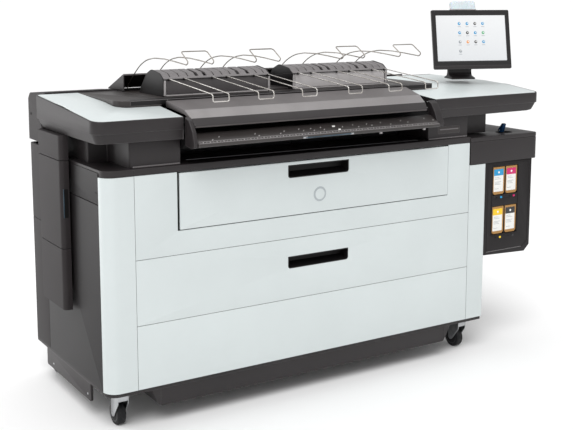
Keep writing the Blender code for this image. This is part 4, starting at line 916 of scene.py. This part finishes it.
def handle_bar(lip_y):
    """Bright bar under the table's lip with slanted ends, and the two pads that the table rests on."""
    x0, x1, y, z = -237, -28, lip_y + 1, 953.5
    path = [(x0, y + 10, z + 5), (x0 + 8, y, z), (x1 - 8, y, z + 1), (x1, y + 10, z + 6)]
    bar = tube(rounded(path, 5, 5, closed=False), 2.2)
    parts = [(bar, RAIL)]
    for a, b in ((x0 - 2, x0 + 16), (x1 - 12, x1 + 2)):
        clip = [(y - 1.5, z - 3), (y - 1.5, z + 4), (y + 8, z + 6), (y + 8, z - 1)]
        parts.append((slab(rounded(clip, 1.5, 3), "X", a, b, 1), ZINC))
    for x in (100, 300):
        pad = rectangle(x - 5, x + 5, y + 4, y + 14, 3)
        parts.append((slab(pad, "Z", 943.5, 951.5, 1), TRIM))
    piece("table_handle", "chassis", "bright_wire", parts)


def roller(low, high, node, body):
    """Rubber-covered roller on its steel shaft, with a groove at each third of its length."""
    middle = (low + high) / 2
    half = (high[0] - low[0]) / 2
    r = (high[2] - low[2]) / 2
    cover = half - 12
    stations = [(-cover, r - 1), (-cover + 1, r)]
    for share in (-1 / 3, 0, 1 / 3):
        at = cover * share
        stations += [(at - 6, r), (at - 5, r - 2), (at + 5, r - 2), (at + 6, r)]
    stations += [(cover - 1, r), (cover, r - 1)]
    profile = [(-cover, 0)] + stations + [(cover, 0)]
    shaft = [(-half, 0), (-half, 5), (-half + 1, 6), (half - 1, 6), (half, 5), (half, 0)]
    parts = [(turned(profile, middle, "X", 32), RUBBER), (turned(shaft, middle, "X", 20), SHEET_STEEL)]
    piece(node + "_covered", body, "rubber_black", parts, node)


# ---- covers and wires on the deck
HUMPS = ((-615, -180), (-85, 360))


def louvre_covers():
    """Two covers over the output: domed black ends, grey front, and a crown of strips with gaps between."""
    base = 1088.4
    side = [(-85, base), (-88, 1143), (-60, 1150), (10, 1158), (45, 1146), (105, 1099), (110, base)]
    body_side = rounded(side, [1, 3, 20, 40, 40, 8, 1], 6)
    dome = [(-87, base), (-90, 1148), (-62, 1168), (8, 1178.5), (48, 1162), (108, 1101), (112, base)]
    end_side = rounded(dome, [1, 10, 30, 45, 50, 10, 1], 8)
    strip_side = rounded([(-89.5, 1148.5), (-61, 1166.5), (10, 1176.5), (50, 1160), (46, 1154), (9, 1169),
                          (-60, 1159), (-84.5, 1145.5)], [1.5, 20, 36, 1, 1, 30, 16, 1], 5)
    parts = []
    lip_side = rounded([(-89.8, 1148.8), (-79.7, 1155.3), (-77, 1153), (-84.5, 1145.5)], 0.8, 3)
    # the first cover's front takes the darker copy of the grey: painted shade
    for (x0, x1), finish in zip(HUMPS, (HUMP_DARK, HUMP_FRONT)):
        parts.append((slab(body_side, "X", x0 + 2, x1 - 2, 1), BLACK))
        front = plate("Y", x0 + 14, x1 - 14, base + 7, 1146, -89.5, -84, 2, 1)
        parts += [(front, finish), (slab(lip_side, "X", x0 + 4, x1 - 4, 0.6), RIBS)]
        for a, b in ((x0, x0 + 4), (x1 - 4, x1)):
            parts.append((slab(end_side, "X", a, b, 1.2), BLACK))
        for x in (x0 + 3, x1 - 11):
            parts.append((plate("Y", x, x + 8, base + 2, 1144, -91.5, -86, 1.5, 0.8), TRIM))
        sill = plate("Y", x0 + 12, x1 - 12, base + 0.5, base + 5.5, -92.5, -85, 1, 0.6)
        parts.append((sill, TRIM))
        # (middle from the cover's middle, width) in millimetres
        gaps = [(-185, 4), (-150, 4), (-115, 4), (-80, 13), (-47, 13), (-12, 4), (22, 4), (55, 4), (88, 13),
                (129, 13), (165, 4), (195, 4)]
        edges = [(x0 + x1) / 2 + (at + way * wide / 2) for at, wide in gaps for way in (-1, 1)]
        edges = [x0 + 4] + edges + [x1 - 4]
        parts += [(slab(strip_side, "X", a, b, 0.8), RIBS) for a, b in zip(edges[::2], edges[1::2])]
    bridge = plate("Z", HUMPS[0][1] - 10, HUMPS[1][0] + 10, -60, 90, base, base + 5.6, 2, 1)
    parts.append((bridge, DECK))
    piece("louvre_cover_shells", "chassis", "housing_dark", parts, "louvre_covers")


def hood():
    """Wedge hood over the rear outlet: thin sheet bent over two end walls, with a pale lip at its mouth."""
    low, high = box("output_hood")
    front, rear, top, foot = low[1], high[1], high[2], low[2]
    sheet = 4
    roof = rounded([(front, top), (rear, 1092.5), (rear, foot), (rear - sheet, foot), (rear - sheet, 1090),
                (front, top - sheet)], 1.5, 3)
    wall = rounded([(front + 0.7, foot + 0.3), (front + 0.7, top - 0.6), (rear - 0.6, 1091.9),
                (rear - 0.6, foot + 0.3)], 1.5, 3)
    lip = rounded([(front - 3, top - 6), (front - 3, top + 0.2), (front + 4, top - 0.5),
               (front + 2, top - 6)], 1, 3)
    parts = [(slab(roof, "X", low[0], high[0], 1), HOUSING),
             (slab(wall, "X", low[0] + 0.4, low[0] + sheet, 1), HOUSING),
             (slab(wall, "X", high[0] - sheet, high[0] - 0.4, 1), HOUSING),
             (slab(lip, "X", low[0] + 1, high[0] - 1, 1), RIBS)]
    piece("output_hood_sheet", "chassis", "housing_dark", parts, "output_hood")


def front_wires():
    """Six bent wires that hang forward over the lid, each leg set in a black grommet."""
    radius = 2
    root_y, root_z, tip_y = -92.5, 1147, -422
    parts = []
    for x in (-567, -397, -225, -34, 142, 310):
        half = 29.5
        side = [(root_y, root_z), (root_y - 10, root_z + 3), (tip_y + 6, 1123), (tip_y, 1117), (tip_y, 1098)]
        path = [(x - half, y, z) for y, z in side] + [(x + half, y, z) for y, z in side[::-1]]
        bent = rounded(path, [0, 6, 8, 5, 6, 6, 5, 8, 6, 0], 4, closed=False, share=0.49)
        parts.append((tube(bent, radius), WIRE))
        for leg in (x - half, x + half):
            grommet = [(-6, 0), (-6, 3.2), (-4, 4.2), (-1, 4.2), (-1, 0)]
            parts.append((turned(grommet, (leg, root_y, root_z), "Y", 16), GAP_BLACK))
    rail = [(root_y - 1.4, root_z - 1.4), (root_y + 1.4, root_z - 1.4),
            (root_y + 1.4, root_z + 1.4), (root_y - 1.4, root_z + 1.4)]
    low, high = box("front_wire_guides")
    parts.append((slab(rounded(rail, 1, 3), "X", low[0], high[0], 0.5), BLACK))
    piece("front_guide_wires", "front_wires", "bright_wire", parts, "front_wire_guides")


def rear_wires():
    """Four tall arches that rise out of the hood, run forward and turn back up in a U."""
    side = [(209, 1093), (200, 1110), (145, 1151), (86, 1190), (27, 1211), (-35, 1220),
            (-118, 1221), (-192, 1217), (-284, 1210), (-300, 1219), (-244, 1252)]
    bends = [0, 30, 300, 260, 220, 220, 260, 300, 9, 9, 9]
    parts = []
    for x in (-573, -312, 50, 311):
        half = 48
        path = [(x - half, y, z) for y, z in side] + [(x + half, y, z) for y, z in side[::-1]]
        bent = rounded(path, bends + bends[::-1], 6, closed=False, share=0.49)
        parts.append((tube(bent, 2), WIRE_DULL))
    low, high = box("rear_wire_guides")
    rail = plate("X", 205.2, 212.8, 1089.2, 1094.8, low[0], high[0], 1, 0.6)
    parts.append((rail, BLACK))
    piece("rear_guide_wires", "chassis", "bright_wire", parts, "rear_wire_guides")


# ---- print path and drawers' insides
def print_path():
    """Print bar with its head modules, drive roller, paper edge rail, steel frame, drawer trays and rolls."""
    low, high = box("print_bar")
    side = rounded([(low[1], low[2]), (high[1], low[2]), (high[1], high[2]), (low[1], high[2])], 4, 4)
    parts = [(slab(side, "X", low[0], high[0], 2), BLACK)]
    pitch = 127
    for i in range(8):                                          # one print head module every five inches
        x = low[0] + 15 + pitch * i
        cover = rounded([(low[1] - 1, low[2] + 8), (low[1] + 30, low[2] + 8),
                     (low[1] + 30, high[2] + 1), (low[1] - 1, high[2] + 1)], 3, 3)
        parts.append((slab(cover, "X", x, x + pitch - 12, 1.5), DECK))
    piece("print_bar_modules", "chassis", "black_plastic", parts, "print_bar")
    low, high = box("drive_roller")
    roller(low, high, "drive_roller", "drive_roller")
    path = np.array([(-633, -297, 897), (350, -297, 889.5)])
    rail = tube(path, 1.6)
    piece("paper_edge_rail", "chassis", "bright_wire", [(rail, HUB)])
    softened("chassis_frame", SHEET_STEEL, 1)
    for drawer in ("upper", "lower"):
        softened(f"{drawer}_drawer_tray", SHEET_STEEL, 0.8)
        for place in ("front", "rear"):
            media_roll(f"{drawer}_roll_{place}")


def media_roll(node):
    """Roll of paper on its spindle: wound paper, a flanged hub at each end, and a steel shaft."""
    low, high = box(node)
    middle = (low + high) / 2
    radius, half = (high[2] - low[2]) / 2, (high[0] - low[0]) / 2
    paper, hub = 1016 / 2, radius * 0.70
    wound = [(-paper, 0), (-paper, hub), (-paper + 0.5, radius - 2), (-paper + 2, radius),
             (paper - 2, radius), (paper - 0.5, radius - 2), (paper, hub), (paper, 0)]
    parts = [(turned(wound, middle, "X", 72), ROLL)]
    for way in (-1, 1):
        flange = [(paper - 0.4, 0), (paper - 0.4, hub - 0.5), (paper + 5, hub), (paper + 7, hub - 2),
                  (paper + 7, hub - 10), (paper + 4, hub - 12), (paper + 4, 28),
                  (paper + 14, 24), (paper + 14, 0)]
        parts.append((turned([(way * a, r) for a, r in flange], middle, "X", 48), BLACK))
    shaft = [(-half, 0), (-half, 12), (-half + 2, 14), (half - 2, 14), (half, 12), (half, 0)]
    parts.append((turned(shaft, middle, "X", 32), SHEET_STEEL))
    piece(node + "_wound", node, "paper", parts, node)


# ---- ink bay
def ink_bay():
    """Cabinet with its door outline, colour chips and screws, the cased cartridges, and the box on top."""
    softened("ink_cabinet", BAY, 1.2)
    low, high = box("ink_cabinet")
    face = low[1]
    outline = rounded([(low[0] + 14, low[2] + 20), (905, low[2] + 20), (934, low[2] + 44),
                       (934, high[2] - 9), (low[0] + 14, high[2] - 9)], 7, 5)
    door = window(outline, inset_by(outline, 1.8), "Y", face - 0.8, face + 1, 0.4)
    frame_out = rectangle(729, 876, 466, 758.5, 8)
    rim = window(frame_out, inset_by(frame_out, 3.5), "Y", face - 1.2, face + 1, 0.5)
    parts = [(door, BLACK), (rim, BLACK)]
    parts.append((plate("Y", 733, 872, 617.5, 619.5, face - 0.9, face + 1, 0.5, 0.3), BLACK))
    line = plate("Y", low[0] + 16, 900, 403.5, 405, face - 0.8, face + 1, 0.5, 0.3)
    parts.append((line, TRIM))
    for ink, x, z in (("cyan", 780, 625), ("magenta", 850, 625), ("yellow", 780, 459), ("black", 850, 459)):
        chip = plate("Y", x - 5, x + 5, z - 4, z + 4, face - 2, face + 1, 2.5, 0.6)
        dot = turned([(-1.4, 0), (-1.4, 2), (1, 2.4), (1, 0)], (x - 24, face, z), "Y", 16)
        parts += [(chip, INKS[ink]), (dot, GAP_BLACK)]
    parts += [(screw_head((925, face - 1, z), "Y", 1, 2.6), BLACK) for z in (410, 745)]
    piece("ink_door_trim", "chassis", "housing_dark", parts)
    for ink in ("cyan", "magenta", "yellow", "black"):
        cartridge(ink)
    ink_top()


def cartridge(ink):
    """Kraft card case with cut lower corners; its label has a colour band, a plain spot and blank rules."""
    node = f"cartridge_{ink}"
    low, high = box(node)
    cut = 8
    outline = [(low[0], low[2] + cut), (low[0] + cut, low[2]), (high[0] - cut, low[2]),
               (high[0], low[2] + cut), (high[0], high[2]), (low[0], high[2])]
    case = slab(rounded(outline, 1.5, 3), "Y", low[1], high[1], 1.5)
    x0, x1, face = low[0] + 3, high[0] - 8, low[1]
    foot, head, middle = low[2] + 12, high[2] - 9, (low[0] + high[0]) / 2
    label = plate("Y", x0, x1, foot, head, face - 0.8, face + 1, 2, 0.3)
    band = plate("Y", x0, x1, head - 26, head, face - 1.2, face, 2, 0.3)
    spot = turned([(-1.6, 0), (-1.6, 4.5), (-1, 4.8), (-1, 0)], (middle - 2, face, head - 13), "Y", 20)
    parts = [(case, KRAFT), (label, LABEL), (band, INKS[ink]), (spot, LABEL)]
    # blank rules for print
    for down, length in ((34, 0.55), (40, 0.75), (52, 0.8), (57, 0.6), (62, 0.7), (80, 0.5)):
        z = head - down
        rule = rectangle(x0 + 5, x0 + 5 + (x1 - x0 - 8) * length, z - 0.7, z + 0.7, 0.5)
        parts.append((slab(rule, "Y", face - 1.1, face, 0.2), INKS["grey"]))
    piece(node + "_case", node, "kraft_card", parts, node)


def ink_top():
    """Box over the cabinet in two mouldings, an oval well in its top, and the navy lever."""
    low, high = box("ink_top_box")
    seam = high[2] - 17
    corners = [2, 22, 6, 2]
    plan = rectangle(low[0], high[0], low[1], high[1], corners, 10)
    lower = slab(plan, "Z", low[2], seam - 0.8, 2)
    centre_x, centre_y = 853, -240
    well = rectangle(centre_x - 36, centre_x + 36, centre_y - 28, centre_y + 28, 27, 10)
    lid = window(plan, well, "Z", seam + 0.8, high[2], 2.5)
    floor = slab(rectangle(centre_x - 37, centre_x + 37, centre_y - 29, centre_y + 29, 27, 10),
                 "Z", high[2] - 12, high[2] - 7.8, 0.5)
    shadow = slab(inset_by(plan, 1.2), "Z", seam - 2, seam + 2, 0.2)
    parts = [(lower, HOUSING), (lid, HOUSING), (floor, BLACK), (shadow, GAP_BLACK)]
    piece("ink_top_moulding", "chassis", "housing_dark", parts, "ink_top_box")
    low, high = box("ink_lever")
    side = [(-232, 876), (-213, 876), (-212, 888), (-234.5, 915.5), (-246.5, 912.5), (-237, 885)]
    blade = slab(rounded(side, [2, 3, 5, 3, 2, 6], 4), "X", low[0], high[0], 2.5)
    pin = [(-13, 0), (-13, 3), (-12, 4), (12, 4), (13, 3), (13, 0)]
    parts = [(blade, LEVER), (turned(pin, (centre_x, -222, 884), "X", 20), ZINC)]
    piece("ink_lever_moulding", "ink_lever", "lever_blue", parts, "ink_lever")


# ---- monitor
MONITOR_YAW = Matrix.Rotation(math.radians(-18.4), 4, "Z")
MONITOR_TILT = Matrix.Rotation(math.radians(-11.5), 4, "X")


def monitor_place():
    """Matrix from the monitor's own upright axes to its rest pose: middle of the front face, yaw and tilt."""
    return Matrix.Translation((769, -125, 1257)) @ MONITOR_YAW @ MONITOR_TILT


def monitor():
    """Glossy bezel with a window, the slim back, the backlit page with plain tiles, and the status beacon."""
    place = monitor_place()
    half, tall, depth = 343 / 2, 245 / 2, 28
    steps = 5
    outer = rectangle(-half, half, -tall, tall, 6, steps)
    view_x, view_z0, view_z1 = half - 18.5, -tall + 30.5, tall - 22.5
    hole = rectangle(-view_x, view_x, view_z0, view_z1, 1.5, steps)
    bezel = window(outer, hole, "Y", 0, 7, 1.5)
    back_rows = [(outer, 6), (outer, 9), (inset_by(outer, 5), 16),
                 (inset_by(outer, 40), depth - 1.5), (inset_by(outer, 42), depth)]
    back = rings(np.stack([np.insert(flat, 1, y, axis=1) for flat, y in back_rows]))
    chin = plate("Y", -half + 2, half - 2, -tall + 1.5, -tall + 14, -0.5, 2, 2, 0.4)
    parts = [(bezel, BEZEL), (back, BLACK), (chin, HOUSING)]
    for x in (-39, 39):
        lug = rounded([(depth - 2, -62), (depth + 20, -58), (depth + 20, -42), (depth - 2, -38)], 5, 4)
        parts.append((slab(lug, "X", x - 3, x + 3, 1), BLACK))
    for x in (-60, -30, 0, 30, 60):                   # air slots on the back, drawn as near-black plates: painted shade in the slots
        slot = plate("Y", x - 11, x + 11, 40, 44, depth - 1, depth + 0.4, 1.8, 0.2)
        parts.append((slot, GAP_BLACK))
    piece("monitor_case", "monitor", "black_plastic", [(placed(s, place), m) for s, m in parts],
          "monitor_housing")

    page = plate("Y", -view_x, view_x, view_z0, view_z1, 1.2, 3.6, 1, 0.2)
    bar = plate("Y", -view_x, view_x, view_z0, view_z0 + 3.5, 1.0, 2, 0.3, 0.1)
    parts = [(page, DISPLAY), (bar, INKS["black"])]
    parts += tiles(view_x, view_z1)
    piece("display_page", "monitor", "screen_glass", [(placed(s, place), m) for s, m in parts], "screen")

    x0, x1, z0, z1 = -83, 26, tall + 0.4, tall + 39
    lens = slab(rectangle(x0, x1, z0, z1, [3, 3, 14, 14], 8), "Y", 2, depth - 4, 5)
    collar = plate("Y", x0 - 2, x1 + 2, z0 - 0.2, z0 + 4, 1.5, depth - 3.5, 1.5, 1)
    parts = [(lens, BEACON), (collar, TRIM)]
    piece("beacon_lens_cap", "monitor", "beacon_lens", [(placed(s, place), m) for s, m in parts],
          "status_beacon")


def tiles(view_x, top):
    """Plain round tiles on the page, four to a row, each with a short blank rule under it."""
    order = ("cyan", "cyan", "black", "cyan", "cyan", "black", "cyan", "green", "grey", "orange", "black",
             "cyan", "grey")
    made = []
    for i, ink in enumerate(order):
        column, row = i % 4, i // 4
        x = 0.34 * 2 * view_x * (column / 3 - 0.5)
        z = top - 34 - 38 * row
        r = 6
        disc = [(0.4, 0), (0.4, r), (1.6, r), (1.6, 0)]
        made.append((turned(disc, (x, 0, z), "Y", 24), INKS[ink]))
        spot = [(0.1, 0), (0.1, 2.6), (1, 2.6), (1, 0)]
        made.append((turned(spot, (x + 1, 0, z + 1), "Y", 16), LABEL))
        rule = rectangle(x - 7, x + 7, z - 13.5, z - 12, 0.5)
        made.append((slab(rule, "Y", 0.8, 2, 0.1), INKS["grey"]))
    return made


def neck():
    """Foot plate, flat arm and tilt barrel under the monitor."""
    turn = Matrix.Translation((765, -62, 1086.5)) @ MONITOR_YAW
    pivot = turn.inverted() @ (monitor_place() @ Vector((0, 40, -50)))
    top = pivot.z + 8
    side = [(-40, 4.5), (45, 4.5), (45, 11), (22, 18), (16, 30), (16, top), (0, top),
            (0, 30), (-6, 18), (-40, 11)]
    radii = [1, 1, 3, 12, 12, 6, 6, 12, 12, 3]
    arm = slab(rounded(side, radii, 5), "X", -52, 52, 3)
    barrel = [(-34, 0), (-34, 6), (-33, 7), (33, 7), (34, 6), (34, 0)]
    knuckle = turned(barrel, (pivot.x, pivot.y, pivot.z), "X", 28)
    web = plate("X", pivot.y - 1, 4, pivot.z - 7, pivot.z + 7, -33, 33, 1, 1)
    parts = [(arm, HOUSING), (knuckle, BLACK), (web, HOUSING)]
    parts += [(screw_head((x, y, 12.5), "Z", -1, 3), BLACK) for x in (-40, 40) for y in (-30, 36)]
    piece("monitor_arm", "neck", "housing_dark", [(placed(s, turn), m) for s, m in parts], "monitor_neck")


# ---- casters
def casters():
    """Four swivel casters; the two in front have a brake pedal."""
    for side in ("left", "right"):
        for end in ("front", "rear"):
            caster(f"{end}_{side}", end == "front")


def caster(tag, brake):
    """Twin-leg fork of pressed zinc-plated sheet on a ball race, with a tyred wheel."""
    low, high = box(f"caster_wheel_{tag}")
    axle = (low + high) / 2
    half, r = (high[0] - low[0]) / 2, 40
    tyre = [(-half, r - 11), (-half, r - 4), (-half + 1.2, r - 1.6), (-half + 3.5, r),
            (half - 3.5, r), (half - 1.2, r - 1.6), (half, r - 4), (half, r - 11)]
    tread = turned([(-half, 0)] + tyre + [(half, 0)], axle, "X", 64)
    parts = [(tread, RUBBER)]
    for way in (-1, 1):
        dish = [(half - 3, 0), (half - 3, r - 10.5), (half + 0.3, r - 11), (half + 0.3, r - 14),
                (half - 0.8, r - 15), (half - 0.8, 13), (half + 0.6, 11), (half + 0.6, 0)]
        parts.append((turned([(way * a, q) for a, q in dish], axle, "X", 48), HUB))
    piece(f"caster_tyre_{tag}", f"wheel_{tag}", "rubber_black", parts, f"caster_wheel_{tag}")

    low, high = box(f"caster_fork_{tag}")
    x = axle[0]
    y = axle[1] - 28
    top = high[2]
    parts = [(plate("Z", x - 30, x + 30, y - 30, y + 30, top - 4, top, 5, 1), ZINC)]
    race = [(top - 17, 0), (top - 17, 20), (top - 15, 22), (top - 9, 22),
            (top - 6, 19), (top - 3, 19), (top - 3, 0)]
    parts.append((turned(race, (x, y, 0), "Z", 36), ZINC))
    leg = [(y - 22, top - 5), (y - 20, 84), (axle[1] - 13, 36), (axle[1] - 4, 29.5),
           (axle[1] + 4, 29.5), (axle[1] + 13, 36), (axle[1] + 12, 80), (y + 24, top - 5)]
    radii = [2, 8, 10, 7, 7, 10, 14, 2]
    side = rounded(leg, radii, 5)
    for low_x in (x - half - 5, x + half + 2):
        parts.append((slab(side, "X", low_x, low_x + 3, 1), ZINC))
    crown = rounded([(y - 20, 92), (y + 23, 92), (y + 23, top - 5), (y - 20, top - 5)], 4, 3)
    parts.append((slab(crown, "X", x - half - 4.5, x + half + 4.5, 2), ZINC))
    for way in (-1, 1):
        nut = [(half + 4, 0), (half + 4, 6.5), (half + 6.4, 6), (half + 6.6, 0)]
        parts.append((turned([(way * a, q) for a, q in nut], axle, "X", 6), ZINC))
    if brake:
        pedal = [(axle[1] + 4, 87.5), (axle[1] + 50, 72.5), (axle[1] + 52, 77.8), (axle[1] - 8, 97)]
        parts.append((slab(rounded(pedal, 1.6, 3), "X", x - half - 4, x + half + 4, 2), HUB))
    piece(f"caster_pressing_{tag}", f"fork_{tag}", "zinc_plate", parts, f"caster_fork_{tag}")


# ---- floor, light and camera
ROOM_LIGHT = 0.72
# name, kind, place, aim, strength (W/m2 for the sun, W for the boxes), angle in degrees or width and height
LAMPS = (
    ("key_sun", "SUN", (-2.2, -3.0, 5.0), (0, 0, 0), 1.6, 35),
    ("overhead_box", "AREA", (0.2, 0.6, 3.6), (0, 0, 1.0), 20, (3.5, 1.6)),
    ("rear_left_box", "AREA", (-4.2, 4.0, 1.6), (-0.95, -0.1, 0.9), 75, (3.0, 3.0)),
)


def studio():
    """Pale floor, an even pale room, a broad soft key from the front left, and a soft box overhead."""
    a = np.linspace(0, 2 * math.pi, 96, endpoint=False)
    far = 600.0
    ring = np.column_stack([np.cos(a), np.sin(a), np.zeros_like(a)])
    rows = np.array([0.02, 1.0, 2.5, 5.0, 12.0, 60.0, far])
    verts, faces = rings(ring[None] * rows[:, None, None], caps=False)
    faces.append(list(range(96)))
    mesh = bpy.data.meshes.new("studio_floor")
    mesh.from_pydata(verts.tolist(), [], faces)
    floor = bpy.data.objects.new("studio_floor", mesh)
    bpy.context.scene.collection.objects.link(floor)
    material, tree, shader, where = surface("painted_studio_floor", Roughness=0.65, Specular_IOR_Level=0.15)
    mottle = add(tree, "TexNoise", {"Vector": where, "Scale": 1.3, "Detail": 3.0})
    mixed = add(tree, "Mix", {0: mottle, 6: colour("#F7F7F7"), 7: colour("#FBFBFB")}, data_type="RGBA")
    drive(tree, shader, Base_Color=mixed)
    mesh.materials.append(material)

    world = bpy.data.worlds.new("even_room")
    bpy.context.scene.world = world
    world.use_nodes = True
    world.node_tree.nodes["Background"].inputs["Color"].default_value = (1.0, 1.0, 1.0, 1.0)
    world.node_tree.nodes["Background"].inputs["Strength"].default_value = ROOM_LIGHT
    for name, kind, at, aim, power, size in LAMPS:
        data = bpy.data.lights.new(name, kind)
        data.energy = power
        if kind == "SUN":
            data.angle = math.radians(size)
        else:
            data.shape = "RECTANGLE"
            data.size, data.size_y = size
        lamp = bpy.data.objects.new(name, data)
        lamp.location = at
        lamp.rotation_mode = "QUATERNION"
        lamp.rotation_quaternion = (Vector(aim) - Vector(at)).to_track_quat("-Z", "Y")
        bpy.context.scene.collection.objects.link(lamp)

    data = bpy.data.cameras.new("view")
    camera = bpy.data.objects.new("view", data)
    heading, pitch = math.radians(32.04), math.radians(8.36)
    camera.location = (-2.1419, -3.3261, 1.4384)
    forward = Vector((math.sin(heading) * math.cos(pitch), math.cos(heading) * math.cos(pitch),
                      -math.sin(pitch)))
    camera.rotation_mode = "QUATERNION"
    camera.rotation_quaternion = forward.to_track_quat("-Z", "Y")
    data.lens = 64.70
    data.shift_y = -0.12
    data.clip_end = 900
    bpy.context.scene.collection.objects.link(camera)
    bpy.context.scene.camera = camera
    bpy.context.scene.view_settings.view_transform = "Standard"


# ---- the whole machine
white_panels()
drawer_fronts()
base_and_sill()
side_covers()
wings()
pillars()
deck()
scanner()
louvre_covers()
hood()
front_wires()
rear_wires()
print_path()
ink_bay()
monitor()
neck()
casters()
studio()
